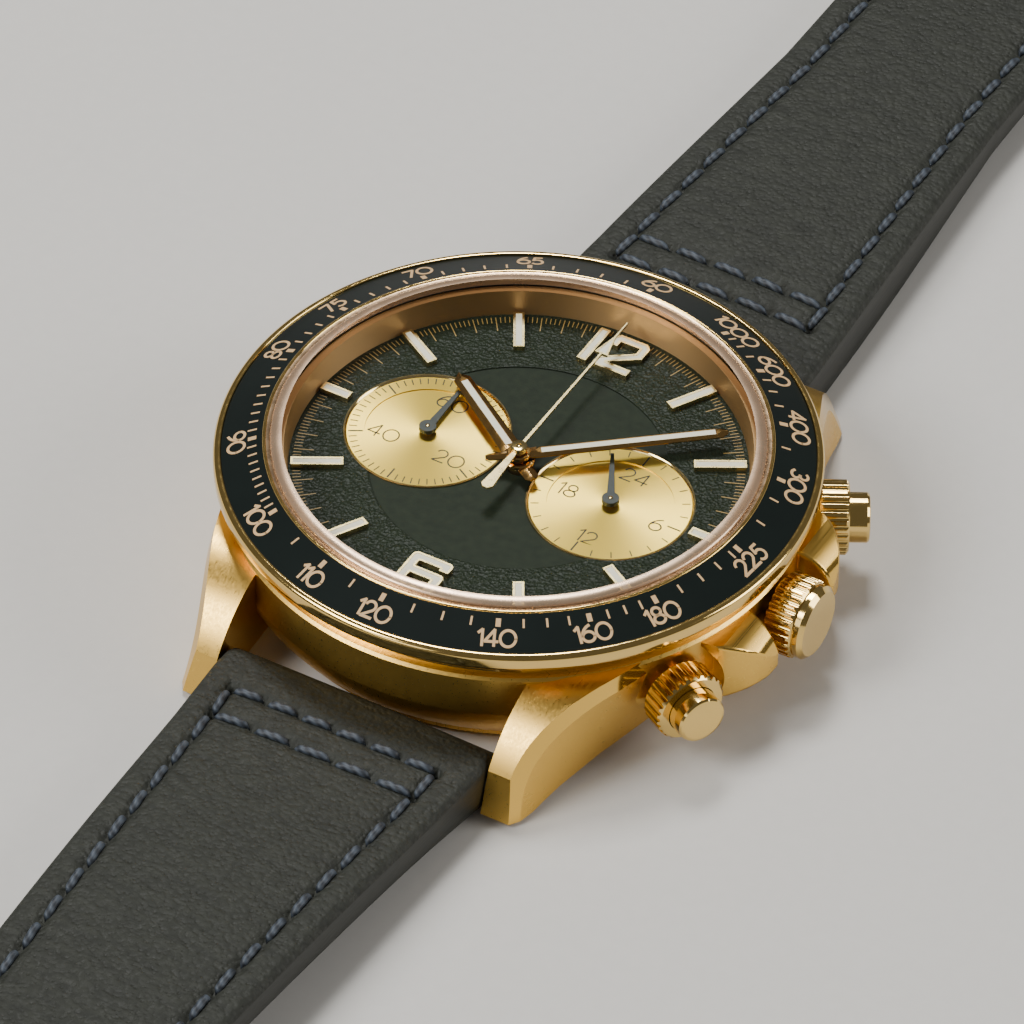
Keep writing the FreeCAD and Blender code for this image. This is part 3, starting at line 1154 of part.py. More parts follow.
def strap_plan(far, tip):
    """Plan outline on the 12 o'clock side: straight, tapered, straight, then a square or rounded end."""
    wide, slim = STRAP_HALF, 0.5 * STRAP_TAIL_WIDTH
    near = BAR_Y - STRAP_END_R - 1.0
    right = [(wide, near), (wide, BAR_Y + STRAP_TAPER_START), (slim, BAR_Y + STRAP_TAPER_END),
             (slim, far - tip)]
    left = [(-x, y) for x, y in reversed(right)]
    if tip:
        end = [((0.72 * slim, far - 0.3 * tip), (1.5, far)), ((0.0, far + 0.2), (-1.5, far)),
               ((-0.72 * slim, far - 0.3 * tip), (-slim, far - tip))]
        return plate(right + end + left[1:], -1.0, 10.0)
    return plate(right + left, -1.0, 10.0)


def strap_short():
    """Buckle half, at 12 o'clock: folded round the spring bar and round the buckle's bar."""
    end = BUCKLE_BAR_Y
    lift = STRAP_LIFT
    lifted = BAR_Y + STRAP_TAPER_END + 2.0
    level = FREE_KEEPER_Y - 2.0
    last = FIXED_KEEPER_Y + 2.0
    top = [(BAR_Y, BAR_Z + STRAP_END_R), (BAR_Y + 7, STRAP_SHOULDER), (lifted, lift + STRAP_THIN + 0.2),
           (level, lift + STRAP_THIN), (last, lift + STRAP_THIN), (end, BUCKLE_BAR_Z + BUCKLE_END_R)]
    low = [(BAR_Y, BAR_Z - STRAP_END_R), (BAR_Y + 13.3, 0.12), (lifted, lift), (level, lift), (last, lift),
           (end, BUCKLE_BAR_Z - BUCKLE_END_R)]
    body = joined([strap_slab(top, low), rod_x(STRAP_END_R, -0.5 * LUG_GAP, 0.5 * LUG_GAP, BAR_Z, BAR_Y),
                   rod_x(BUCKLE_END_R, -0.5 * LUG_GAP, 0.5 * LUG_GAP, BUCKLE_BAR_Z, end)])
    body = body.common(strap_plan(end + BUCKLE_END_R + 0.5, 0.0))
    half = 0.5 * LUG_GAP
    tools = [rod_x(BAR_R + STRAP_TUNNEL_GAP, -half, half, BAR_Z, BAR_Y)]
    tools.append(rod_x(BUCKLE_BAR_R + STRAP_TUNNEL_GAP, -half, half, BUCKLE_BAR_Z, end))
    tools.append(box(-0.5 * TONGUE_SLOT, 0.5 * TONGUE_SLOT, end - TONGUE_SLOT_BACK, end + 5.0, -1.0, 8.0))
    return without(body, tools)


def strap_long():
    """Tail half, at 6 o'clock, with its row of holes. Built on the 12 o'clock side, then mirrored."""
    end = BAR_Y + STRAP_LONG
    arch = BAR_Y + ARCH_PLACE
    down = BAR_Y + ARCH_END
    half_down = 0.5 * (arch + down)
    low = [(BAR_Y, BAR_Z - STRAP_END_R), (BAR_Y + 0.18 * ARCH_PLACE, 0.42 * ARCH_LIFT),
           (BAR_Y + 0.53 * ARCH_PLACE, 0.8 * ARCH_LIFT), (arch, ARCH_LIFT),
           (half_down, 0.57 * ARCH_LIFT + 0.03), (down, 0.25), (end + 1, 0.06)]
    top = [(BAR_Y, BAR_Z + STRAP_END_R), (BAR_Y + 0.18 * ARCH_PLACE, STRAP_SHOULDER + 0.15),
           (BAR_Y + 0.53 * ARCH_PLACE, 0.8 * ARCH_LIFT + STRAP_THIN + 0.35), (arch, ARCH_LIFT + STRAP_THIN),
           (half_down, 0.57 * ARCH_LIFT + STRAP_THIN), (down, 0.25 + STRAP_TIP_THICK + 0.1),
           (end + 1, 0.06 + STRAP_TIP_THICK)]
    body = joined([strap_slab(top, low), rod_x(STRAP_END_R, -0.5 * LUG_GAP, 0.5 * LUG_GAP, BAR_Z, BAR_Y)])
    body = body.common(strap_plan(end, 9.0))
    body = body.cut(rod_x(BAR_R + STRAP_TUNNEL_GAP, -0.5 * LUG_GAP, 0.5 * LUG_GAP, BAR_Z, BAR_Y))
    for i in range(HOLE_COUNT):
        body = body.cut(disc(HOLE_R, -1.0, 8.0, (0.0, BAR_Y + HOLE_START + i * HOLE_PITCH)))
    return body.mirror(ORIGIN, ALONG_Y)


def spring_bars():
    bars = []
    half = 0.5 * LUG_GAP - 0.1
    tip = half + 0.1 + BAR_TIP
    for sign in (1, -1):
        bars.append(joined([rod_x(BAR_R, -half, half, BAR_Z, sign * BAR_Y),
                            rod_x(BAR_TIP_R, -tip, tip, BAR_Z, sign * BAR_Y)]))
    return group(bars)


def buckle_inner_half():
    return 0.5 * STRAP_TAIL_WIDTH + BUCKLE_IN_PLAY


def buckle_frame():
    """Open rectangle: two ears that carry the bar and a front rail that the tongue rests on."""
    inner = buckle_inner_half()
    outer = inner + BUCKLE_WALL
    back = BUCKLE_BAR_Y - BUCKLE_EAR
    front = BUCKLE_BAR_Y + BUCKLE_LENGTH
    body = box(-outer, outer, back, front, BUCKLE_FOOT, BUCKLE_FOOT + BUCKLE_HEIGHT)
    corners = [e for e in body.Edges if abs(e.tangentAt(e.FirstParameter).z) > 0.9
               and e.CenterOfMass.y > front - 1.0]
    body = body.makeFillet(3.0, corners)
    body = body.cut(box(-inner, inner, back, front - BUCKLE_RAIL, BUCKLE_FOOT, BUCKLE_FOOT + BUCKLE_HEIGHT))
    rims = [e for e in body.Edges if e.CenterOfMass.z > BUCKLE_FOOT + BUCKLE_HEIGHT - 0.01]
    body = body.makeChamfer(0.3, rims)
    notch = box(-0.5 * TONGUE_WIDTH - 0.15, 0.5 * TONGUE_WIDTH + 0.15, front - BUCKLE_RAIL, front,
                BUCKLE_FOOT + BUCKLE_HEIGHT - 0.35, BUCKLE_FOOT + BUCKLE_HEIGHT)
    return body.cut(notch).cut(rod_x(BUCKLE_BAR_R, -outer + 0.8, outer - 0.8, BUCKLE_BAR_Z, BUCKLE_BAR_Y))


def buckle_bar():
    reach = buckle_inner_half() + BUCKLE_WALL - 0.8
    return rod_x(BUCKLE_BAR_R, -reach, reach, BUCKLE_BAR_Z, BUCKLE_BAR_Y)


def buckle_tongue():
    """Loop round the bar, and an arm that lies on the front rail."""
    half = 0.5 * TONGUE_WIDTH
    loop_r = BUCKLE_BAR_R + FIT + 0.6
    low = BUCKLE_FOOT + BUCKLE_HEIGHT - 0.3
    tip = BUCKLE_BAR_Y + BUCKLE_LENGTH - 0.2
    y = BUCKLE_BAR_Y
    crest = BUCKLE_BAR_Z + loop_r
    arm = side_prism([(y, crest - TONGUE_THICK), (y, crest), (y + 4.0, low + TONGUE_THICK + 0.3),
                      (tip - 0.6, low + TONGUE_THICK - 0.1), (tip, low + 0.45), (tip, low),
                      (y + 4.0, low + 0.25)], -half, half)
    loop = rod_x(loop_r, -half, half, BUCKLE_BAR_Z, y)
    return joined([loop, arm]).cut(rod_x(BUCKLE_BAR_R + FIT, -half, half, BUCKLE_BAR_Z, y))


def keeper(y):
    """Leather loop round the strap, tall enough for a second layer."""
    half = 0.5 * STRAP_TAIL_WIDTH + KEEPER_PLAY
    z0 = KEEPER_FOOT + KEEPER_WALL
    outer = box(-half - KEEPER_WALL, half + KEEPER_WALL, y - 0.5 * KEEPER_WIDTH, y + 0.5 * KEEPER_WIDTH,
                KEEPER_FOOT, z0 + KEEPER_ROOM + KEEPER_WALL)
    along = [e for e in outer.Edges if abs(e.tangentAt(e.FirstParameter).y) > 0.9]
    outer = outer.makeFillet(1.2, along)
    return outer.cut(box(-half, half, y - KEEPER_WIDTH, y + KEEPER_WIDTH, z0, z0 + KEEPER_ROOM))


# ---- everything, one file each ----------------------------------------------------------
hour_blade, hour_inlay = lumed_hand(HOUR_LENGTH, HOUR_WIDTH, HOUR_HAND_Z, HOUR_TUBE_R, HOUR_ANGLE)
minute_blade, minute_inlay = lumed_hand(MINUTE_LENGTH, MINUTE_WIDTH, MINUTE_HAND_Z, CANNON_R, MINUTE_ANGLE)

save("case_middle", case_middle())
save("caseback", caseback())
save("caseback_gasket", caseback_gasket())
save("bezel", bezel())
save("bezel_insert", bezel_insert())
save("crystal", crystal())
save("crystal_gasket", crystal_gasket())
save("rehaut", rehaut())
save("dial", dial())
save("subdial_minutes", subdial(-SUBDIAL_X))
save("subdial_24h", subdial(SUBDIAL_X))
save("hour_markers", hour_markers())
save("marker_lume", marker_lume())
save("movement_holder", movement_holder())
save("mainplate", mainplate())
save("train_bridge", train_bridge())
save("bridge_screws", bridge_screws())
save("circuit_board", circuit_board())
save("battery", battery())
save("stator", stator())
save("coil", coil())
save("cannon_pinion", cannon_pinion())
save("motion_wheel", motion_wheel())
save("hour_wheel", hour_wheel())
save("idler_wheel", idler_wheel())
save("day_wheel", day_wheel())
save("third_wheel", third_wheel())
save("rotor", rotor())
save("sweep_arbor", sweep_arbor())
save("step_wheel", step_wheel())
save("counter_wheel", counter_wheel())
save("hour_hand", hour_blade)
save("hour_hand_lume", hour_inlay)
save("minute_hand", minute_blade)
save("minute_hand_lume", minute_inlay)
save("sweep_hand", sweep_hand())
save("sweep_hand_lume", sweep_lume())
save("minute_counter_hand", small_hand(-SUBDIAL_X, 0.0))
save("day_hand", small_hand(SUBDIAL_X, HAND_24H_ANGLE))
save("crown", crown())
save("stem", stem())
save("sliding_pinion", sliding_pinion())
save("crown_tube", crown_tube())
save("setting_lever", setting_lever())
save("start_button", button(1))
save("reset_button", button(-1))
save("button_collars", group([button_collar(1), button_collar(-1)]))
save("start_spring", button_spring(1))
save("reset_spring", button_spring(-1))
save("start_lever", button_lever(1))
save("reset_lever", button_lever(-1))
save("spring_bars", spring_bars())
save("strap_buckle_half", strap_short())
save("strap_tail_half", strap_long())
save("buckle_frame", buckle_frame())
save("buckle_bar", buckle_bar())
save("buckle_tongue", buckle_tongue())
save("fixed_keeper", keeper(FIXED_KEEPER_Y))
save("free_keeper", keeper(FREE_KEEPER_Y))
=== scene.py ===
import bmesh
import bpy
import numpy as np
from mathutils import Matrix, Vector


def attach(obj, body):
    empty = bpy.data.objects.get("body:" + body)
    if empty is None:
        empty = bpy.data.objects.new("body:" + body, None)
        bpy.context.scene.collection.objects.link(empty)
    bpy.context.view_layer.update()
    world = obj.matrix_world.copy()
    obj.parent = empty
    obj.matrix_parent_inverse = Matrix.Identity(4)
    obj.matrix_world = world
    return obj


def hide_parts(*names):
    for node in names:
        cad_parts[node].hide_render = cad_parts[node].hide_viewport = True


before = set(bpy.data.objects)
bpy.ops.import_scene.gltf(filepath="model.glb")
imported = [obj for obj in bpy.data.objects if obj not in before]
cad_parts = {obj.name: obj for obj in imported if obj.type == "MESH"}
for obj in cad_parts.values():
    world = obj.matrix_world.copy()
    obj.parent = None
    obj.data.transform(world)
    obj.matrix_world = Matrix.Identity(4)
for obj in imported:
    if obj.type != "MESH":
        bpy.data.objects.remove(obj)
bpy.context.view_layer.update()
MM = 0.001
TURN = 2 * np.pi

# ---- sizes in millimetres, as in the part's source ----
INSERT_IN_R, INSERT_OUT_R = 18.2, 21.13  # printed cone on the bezel
INSERT_IN_Z, INSERT_OUT_Z = 11.7, 10.6
DIAL_Z = 9.0
REGISTER_X = 7.5
REGISTER_Z = 8.9
DISH_R, DISH_Z = 4.55, 8.82  # sunk middle of a register
DIAL_MIDDLE_R = 10.6  # smooth middle of the dial
BAR_Y, BAR_Z, FOLD_R = 22.7, 2.2, 2.0  # spring bar, and the leather folded round it
BUCKLE_Y, BUCKLE_Z, BUCKLE_FOLD_R = 97.7, 1.6, 1.3
TIP_START = 133.7  # where the tail's round tip begins
WIDE, SLIM = 10.85, 9.0  # half widths of the strap
TAPER_START, TAPER_END = 24.0, 56.0  # where it narrows
STITCH_INSET = 2.45  # sewing, in from the leather's edge
STITCH_PITCH = 3.0
SHORT_ROWS, SHORT_SEWN_TO = (28.5, 31.1), 90.0
TAIL_ROWS = (25.6, 28.5)  # rows of sewing across the strap, near the case
HOLE_PLACE, HOLE_PITCH, HOLE_COUNT = 60.0, 6.5, 7  # the first from its bar, then apart
HOUR_ANGLE, MINUTE_ANGLE = 304.5, 50.5  # clockwise from 12 o'clock


# ---- materials ----
def linear(hex_colour):
    """sRGB hex to linear RGBA."""
    values = [int(hex_colour[i:i + 2], 16) / 255 for i in (1, 3, 5)]
    return tuple(c / 12.92 if c <= 0.04045 else ((c + 0.055) / 1.055) ** 2.4 for c in values) + (1.0,)


def add(tree, kind, inputs=None, **settings):
    """Adds a node. An input takes a value, a node's first output, or one named output."""
    n = tree.nodes.new(kind)
    for key, value in settings.items():
        setattr(n, key, value)
    for key, value in (inputs or {}).items():
        if isinstance(value, bpy.types.Node):
            tree.links.new(value.outputs[0], n.inputs[key])
        elif isinstance(value, bpy.types.NodeSocket):
            tree.links.new(value, n.inputs[key])
        else:
            n.inputs[key].default_value = value
    return n


def begin(name):
    """A new material, its tree, and the piece's own coordinates in metres."""
    m = bpy.data.materials.new(name)
    m.use_nodes = True
    m.node_tree.nodes.clear()
    return m, m.node_tree, add(m.node_tree, "ShaderNodeTexCoord").outputs["Object"]


def done(m, tree, shader):
    """Connects the shader, and gives the finished material."""
    add(tree, "ShaderNodeOutputMaterial", {"Surface": shader})
    return m


SPREAD = {"From Min": 0.3, "From Max": 0.7}  # where a noise pattern's values mostly lie


def polished(name, colour, low=0.07, high=0.15):
    """Plated metal, polished or fine satin: an even gloss that wear, 0.6 mm in grain, breaks a little."""
    m, t, at = begin(name)
    wear = add(t, "ShaderNodeTexNoise", {"Vector": at, "Scale": 1000 / 0.6, "Detail": 5.0})
    rough = add(t, "ShaderNodeMapRange", {"Value": wear, "To Min": low, "To Max": high, **SPREAD})
    bump = add(t, "ShaderNodeBump", {"Height": wear, "Strength": 0.05, "Distance": 0.00002})
    s = add(t, "ShaderNodeBsdfPrincipled", {
        "Base Color": linear(colour), "Metallic": 1.0, "Roughness": rough, "Normal": bump})
    return done(m, t, s)


def brushed(name, colour, along, line_mm=0.05):
    """Satin metal: abrasive lines along one axis, a line's width apart, about 8 mm long."""
    m, t, at = begin(name)
    across, run = 1000 / line_mm, 120.0
    size = tuple(run if i == along else across for i in range(3))
    stretch = add(t, "ShaderNodeMapping", {"Vector": at, "Scale": size})
    lines = add(t, "ShaderNodeTexNoise", {"Vector": stretch, "Scale": 1.0, "Detail": 4.0})
    rough = add(t, "ShaderNodeMapRange", {"Value": lines, "To Min": 0.22, "To Max": 0.42, **SPREAD})
    bump = add(t, "ShaderNodeBump", {"Height": lines, "Strength": 0.35, "Distance": 0.000012})
    s = add(t, "ShaderNodeBsdfPrincipled", {
        "Base Color": linear(colour), "Metallic": 1.0, "Roughness": rough, "Normal": bump})
    return done(m, t, s)


def case_gold():
    """Gold-plated steel case: brushed tops and flanks of the lugs, polished bevels between them.

    The lines run along the strap, 0.14 mm apart and about 9 mm long. A face is a bevel where it looks well
    aside and partly up.
    """
    m, t, at = begin("gold_plated_steel_case")
    stretch = add(t, "ShaderNodeMapping", {"Vector": at, "Scale": (7000, 110, 7000)})
    lines = add(t, "ShaderNodeTexNoise", {"Vector": stretch, "Scale": 1.0, "Detail": 2.0})
    facing = add(t, "ShaderNodeSeparateXYZ", {"Vector": add(t, "ShaderNodeTexCoord").outputs["Normal"]})
    sideways = add(t, "ShaderNodeMath", {0: facing.outputs[0]}, operation="ABSOLUTE")
    aside = add(t, "ShaderNodeMapRange", {"Value": sideways, "From Min": 0.45, "From Max": 0.6})
    raised = add(t, "ShaderNodeMapRange", {"Value": facing.outputs[2], "From Min": 0.14, "From Max": 0.22})
    upright = add(t, "ShaderNodeMapRange", {
        "Value": facing.outputs[2], "From Min": 0.62, "From Max": 0.72, "To Min": 1.0, "To Max": 0.0})
    slanted = add(t, "ShaderNodeMath", {0: raised, 1: upright}, operation="MULTIPLY")
    bevel = add(t, "ShaderNodeMath", {0: aside, 1: slanted}, operation="MULTIPLY")
    satin = add(t, "ShaderNodeMapRange", {"Value": lines, "To Min": 0.27, "To Max": 0.4, **SPREAD})
    rough = add(t, "ShaderNodeMix", {0: bevel, 2: satin, 3: 0.1}, data_type="FLOAT")
    relief = add(t, "ShaderNodeMix", {0: bevel, 2: lines, 3: 0.5}, data_type="FLOAT")
    bump = add(t, "ShaderNodeBump", {"Height": relief, "Strength": 0.12, "Distance": 0.00001})
    s = add(t, "ShaderNodeBsdfPrincipled", {
        "Base Color": linear("#e9bd60"), "Metallic": 1.0, "Roughness": rough, "Normal": bump})
    return done(m, t, s)


def turned_lines(name, colour, centre_x=0.0, spokes=900.0, low=0.25, high=0.42, depth=0.25):
    """Metal brushed in lines that radiate from an axis: the highlight fans out like a bow tie."""
    m, t, at = begin(name)
    centred = add(t, "ShaderNodeMapping", {"Vector": at, "Location": (-centre_x * MM, 0, 0)})
    angle = add(t, "ShaderNodeTexGradient", {"Vector": centred}, gradient_type="RADIAL")
    lines = add(t, "ShaderNodeTexNoise", {"W": angle.outputs[1], "Scale": spokes, "Detail": 3.0},
                noise_dimensions="1D")
    rough = add(t, "ShaderNodeMapRange", {"Value": lines, "To Min": low, "To Max": high, **SPREAD})
    bump = add(t, "ShaderNodeBump", {"Height": lines, "Strength": depth, "Distance": 0.00001})
    tangent = add(t, "ShaderNodeTangent", direction_type="RADIAL", axis="Z")
    s = add(t, "ShaderNodeBsdfPrincipled", {
        "Base Color": linear(colour), "Metallic": 1.0, "Roughness": rough,
        "Anisotropic": 0.7, "Tangent": tangent, "Normal": bump})
    return done(m, t, s)


def ring_lines(name, colour):
    """Satin metal brushed round its axis: level lines 0.04 mm apart draw the light out up and down."""
    m, t, at = begin(name)
    place = add(t, "ShaderNodeSeparateXYZ", {"Vector": at})
    lines = add(t, "ShaderNodeTexNoise", {"W": place.outputs[2], "Scale": 1000 / 0.04, "Detail": 2.0},
                noise_dimensions="1D")
    rough = add(t, "ShaderNodeMapRange", {"Value": lines, "To Min": 0.36, "To Max": 0.56, **SPREAD})
    tangent = add(t, "ShaderNodeTangent", direction_type="RADIAL", axis="Z")
    s = add(t, "ShaderNodeBsdfPrincipled", {
        "Base Color": linear(colour), "Metallic": 1.0, "Roughness": rough,
        "Anisotropic": 0.75, "Anisotropic Rotation": 0.25, "Tangent": tangent})
    return done(m, t, s)


def gloss_insert():
    """Lacquered aluminium bezel insert: black with a breath of green, under a clear gloss coat."""
    m, t, at = begin("insert_gloss_black")
    mottle = add(t, "ShaderNodeTexNoise", {"Vector": at, "Scale": 300.0, "Detail": 3.0})
    tone = add(t, "ShaderNodeMix", {0: mottle, 6: linear("#0b1311"), 7: linear("#101a17")}, data_type="RGBA")
    s = add(t, "ShaderNodeBsdfPrincipled", {
        "Base Color": tone.outputs[2], "Roughness": 0.3, "Specular IOR Level": 0.15, "Coat Weight": 1.0,
        "Coat Roughness": 0.04})
    return done(m, t, s)


def grained_dial():
    """Lacquered dial: leather-grained ring, cells about 0.2 mm, round a smooth matt middle."""
    m, t, at = begin("dial_lacquer_grained")
    flat = add(t, "ShaderNodeMapping", {"Vector": at, "Scale": (1, 1, 0)})
    reach = add(t, "ShaderNodeVectorMath", {0: flat}, operation="LENGTH")
    ring = add(t, "ShaderNodeMapRange", {
        "Value": reach.outputs["Value"], "From Min": DIAL_MIDDLE_R * MM,
        "From Max": (DIAL_MIDDLE_R + 0.2) * MM})
    warp = add(t, "ShaderNodeTexNoise", {"Vector": flat, "Scale": 1400.0, "Detail": 3.0})
    cells = add(t, "ShaderNodeTexVoronoi", {"Vector": flat, "Scale": 4800.0}, feature="SMOOTH_F1")
    grain = add(t, "ShaderNodeMath", {0: cells.outputs[0], 1: warp}, operation="MULTIPLY")
    relief = add(t, "ShaderNodeMath", {0: grain, 1: ring}, operation="MULTIPLY")
    bump = add(t, "ShaderNodeBump", {"Height": relief, "Strength": 1.0, "Distance": 0.00017})
    tone = add(t, "ShaderNodeMix", {0: warp, 6: linear("#192016"), 7: linear("#2d3627")}, data_type="RGBA")
    rough = add(t, "ShaderNodeMapRange", {"Value": ring, "To Min": 0.52, "To Max": 0.36})
    s = add(t, "ShaderNodeBsdfPrincipled", {
        "Base Color": tone.outputs[2], "Roughness": rough, "Specular IOR Level": 0.12, "Normal": bump})
    return done(m, t, s)


def strap_leather():
    """Calf leather, dyed dark green-grey: pebbles about 0.35 mm across, soft creases, waxed look."""
    m, t, at = begin("calf_leather_dyed")
    drift = add(t, "ShaderNodeTexNoise", {"Vector": at, "Scale": 260.0, "Detail": 4.0})
    shift = add(t, "ShaderNodeVectorMath", {0: drift.outputs[1], 3: 0.0006}, operation="SCALE")
    bent = add(t, "ShaderNodeVectorMath", {0: at, 1: shift}, operation="ADD")
    pebbles = add(t, "ShaderNodeTexVoronoi", {"Vector": bent, "Scale": 2900.0}, feature="SMOOTH_F1")
    creased = add(t, "ShaderNodeMapping", {
        "Vector": bent, "Scale": (500, 1300, 500), "Rotation": (0, 0, 0.5)})
    creases = add(t, "ShaderNodeTexNoise", {"Vector": creased, "Scale": 1.0, "Detail": 3.0})
    pores = add(t, "ShaderNodeTexNoise", {"Vector": at, "Scale": 7000.0, "Detail": 2.0})
    relief = add(t, "ShaderNodeMath", {0: pebbles.outputs[0], 1: creases}, operation="ADD")
    fine = add(t, "ShaderNodeMath", {0: pores, 1: 0.25, 2: relief}, operation="MULTIPLY_ADD")
    bump = add(t, "ShaderNodeBump", {"Height": fine, "Strength": 0.8, "Distance": 0.00015})
    # The tone follows the crease relief: darker where the creases sink, lighter where they rise.
    crease_tone = add(t, "ShaderNodeMapRange", {"Value": creases, **SPREAD})
    tone = add(t, "ShaderNodeMix", {0: crease_tone, 6: linear("#1f211a"), 7: linear("#2a2c24")}, data_type="RGBA")
    rough = add(t, "ShaderNodeMapRange", {"Value": pebbles, "From Max": 0.6, "To Min": 0.5, "To Max": 0.7})
    s = add(t, "ShaderNodeBsdfPrincipled", {
        "Base Color": tone.outputs[2], "Roughness": rough, "Specular IOR Level": 0.4, "Normal": bump})
    return done(m, t, s)


def strap_lining():
    """Nubuck lining: softer and drier than the outside, with a short nap."""
    m, t, at = begin("nubuck_lining")
    nap = add(t, "ShaderNodeTexNoise", {"Vector": at, "Scale": 2500.0, "Detail": 5.0})
    tone = add(t, "ShaderNodeMix", {0: nap, 6: linear("#2a2a26"), 7: linear("#47463f")}, data_type="RGBA")
    bump = add(t, "ShaderNodeBump", {"Height": nap, "Strength": 0.4, "Distance": 0.00006})
    s = add(t, "ShaderNodeBsdfPrincipled", {
        "Base Color": tone.outputs[2], "Roughness": 0.85, "Sheen Weight": 0.2, "Normal": bump})
    return done(m, t, s)


def edge_paint():
    """Painted, burnished edge of the leather: smoother and a little darker than its face."""
    m, t, at = begin("leather_edge_paint")
    streaks = add(t, "ShaderNodeMapping", {"Vector": at, "Scale": (600, 600, 4000)})
    layers = add(t, "ShaderNodeTexNoise", {"Vector": streaks, "Scale": 1.0, "Detail": 3.0})
    tone = add(t, "ShaderNodeMix", {0: layers, 6: linear("#171914"), 7: linear("#21231c")}, data_type="RGBA")
    bump = add(t, "ShaderNodeBump", {"Height": layers, "Strength": 0.4, "Distance": 0.00005})
    s = add(t, "ShaderNodeBsdfPrincipled", {"Base Color": tone.outputs[2], "Roughness": 0.5, "Normal": bump})
    return done(m, t, s)


def sewing_thread():
    """Waxed polyester thread, slate blue: plies about 0.5 mm apart slant across it, with painted shade
    between them.
    """
    m, t, at = begin("waxed_thread")
    plies = add(t, "ShaderNodeTexWave", {"Vector": at, "Scale": 700.0, "Distortion": 1.5},
                bands_direction="DIAGONAL")
    # Painted shade between the plies and a painted highlight on them: the tone follows the bump's bands.
    tone = add(t, "ShaderNodeMix", {0: plies, 6: linear("#252a31"), 7: linear("#464e58")}, data_type="RGBA")
    bump = add(t, "ShaderNodeBump", {"Height": plies, "Strength": 0.5, "Distance": 0.00005})
    s = add(t, "ShaderNodeBsdfPrincipled", {"Base Color": tone.outputs[2], "Roughness": 0.55, "Normal": bump})
    return done(m, t, s)


def luminous():
    """Luminous compound: cream paste, chalky and slightly uneven, brightened by a faint painted emission."""
    m, t, at = begin("lume_paste_painted_emission")
    chalk = add(t, "ShaderNodeTexNoise", {"Vector": at, "Scale": 5000.0, "Detail": 3.0})
    tone = add(t, "ShaderNodeMix", {0: chalk, 6: linear("#f0e9cf"), 7: linear("#fffbe9")}, data_type="RGBA")
    bump = add(t, "ShaderNodeBump", {"Height": chalk, "Strength": 0.2, "Distance": 0.00002})
    # The emission is painted light: it brightens the paste, though the paste lights nothing.
    s = add(t, "ShaderNodeBsdfPrincipled", {
        "Base Color": tone.outputs[2], "Roughness": 0.6, "Normal": bump, "Emission Color": linear("#fff1cc"),
        "Emission Strength": 0.16})
    return done(m, t, s)


def ink(name, dark, light):
    """Pad-printed ink: flat, with slight thin spots."""
    m, t, at = begin(name)
    spots = add(t, "ShaderNodeTexNoise", {"Vector": at, "Scale": 3000.0, "Detail": 3.0})
    tone = add(t, "ShaderNodeMix", {0: spots, 6: linear(dark), 7: linear(light)}, data_type="RGBA")
    return done(m, t, add(t, "ShaderNodeBsdfPrincipled", {"Base Color": tone.outputs[2], "Roughness": 0.45}))


def moulded(name, dark, light, grain_mm=0.4, roughness=0.5):
    """Moulded plastic, rubber or lacquer: an even tone over a faint moulded grain."""
    m, t, at = begin(name)
    grain = add(t, "ShaderNodeTexNoise", {"Vector": at, "Scale": 1000 / grain_mm, "Detail": 3.0})
    tone = add(t, "ShaderNodeMix", {0: grain, 6: linear(dark), 7: linear(light)}, data_type="RGBA")
    bump = add(t, "ShaderNodeBump", {"Height": grain, "Strength": 0.2, "Distance": 0.00003})
    return done(m, t, add(t, "ShaderNodeBsdfPrincipled", {
        "Base Color": tone.outputs[2], "Roughness": roughness, "Normal": bump}))


def wound_copper():
    """Lacquered copper wire, 0.1 mm, wound side by side, with painted shade between the turns."""
    m, t, at = begin("enamelled_copper_wire")
    wires = add(t, "ShaderNodeTexWave", {"Vector": at, "Scale": 3100.0}, bands_direction="X")
    bump = add(t, "ShaderNodeBump", {"Height": wires, "Strength": 0.8, "Distance": 0.00005})
    # Painted shade in the grooves between turns and a painted highlight on their crests: the tone follows the
    # bump's bands.
    tone = add(t, "ShaderNodeMix", {0: wires, 6: linear("#7a3413"), 7: linear("#c06a35")}, data_type="RGBA")
    return done(m, t, add(t, "ShaderNodeBsdfPrincipled", {
        "Base Color": tone.outputs[2], "Metallic": 0.8, "Roughness": 0.3, "Normal": bump}))


def clear_crystal():
    """Mineral glass, flat and anti-glare: seen through, and brighter only at a grazing look (Schlick)."""
    m, t, at = begin("mineral_crystal_clear")
    haze = add(t, "ShaderNodeTexNoise", {"Vector": at, "Scale": 200.0})
    through = add(t, "ShaderNodeBsdfTransparent", {"Color": (0.985, 0.99, 0.985, 1)})
    rough = add(t, "ShaderNodeMapRange", {"Value": haze, "To Min": 0.01, "To Max": 0.03, **SPREAD})
    gloss = add(t, "ShaderNodeBsdfGlossy", {"Roughness": rough})
    facing = add(t, "ShaderNodeLayerWeight", {"Blend": 0.5}).outputs[1]
    grazing = add(t, "ShaderNodeMath", {0: facing, 1: 5.0}, operation="POWER")
    edge = add(t, "ShaderNodeMath", {0: grazing, 1: 0.7, 2: 0.012}, operation="MULTIPLY_ADD")
    return done(m, t, add(t, "ShaderNodeMixShader", {0: edge, 1: through, 2: gloss}))


def ground_bevel():
    """Ground and polished edge of the crystal: a pale rose band of painted reflection of the gold round it.
    """
    m, t, at = begin("mineral_crystal_bevel_painted_reflection")
    haze = add(t, "ShaderNodeTexNoise", {"Vector": at, "Scale": 400.0, "Detail": 2.0})
    # The rose tint seen through the edge and the pale gold metal over it are painted reflection of the gold
    # case and gasket.
    through = add(t, "ShaderNodeBsdfTransparent", {"Color": linear("#e6cdb8")})
    rough = add(t, "ShaderNodeMapRange", {"Value": haze, "To Min": 0.22, "To Max": 0.3, **SPREAD})
    painted_gold_reflection = add(t, "ShaderNodeBsdfPrincipled", {
        "Base Color": linear("#dfbf9f"), "Metallic": 0.75, "Roughness": rough})
    return done(m, t, add(t, "ShaderNodeMixShader", {0: 0.8, 1: through, 2: painted_gold_reflection}))


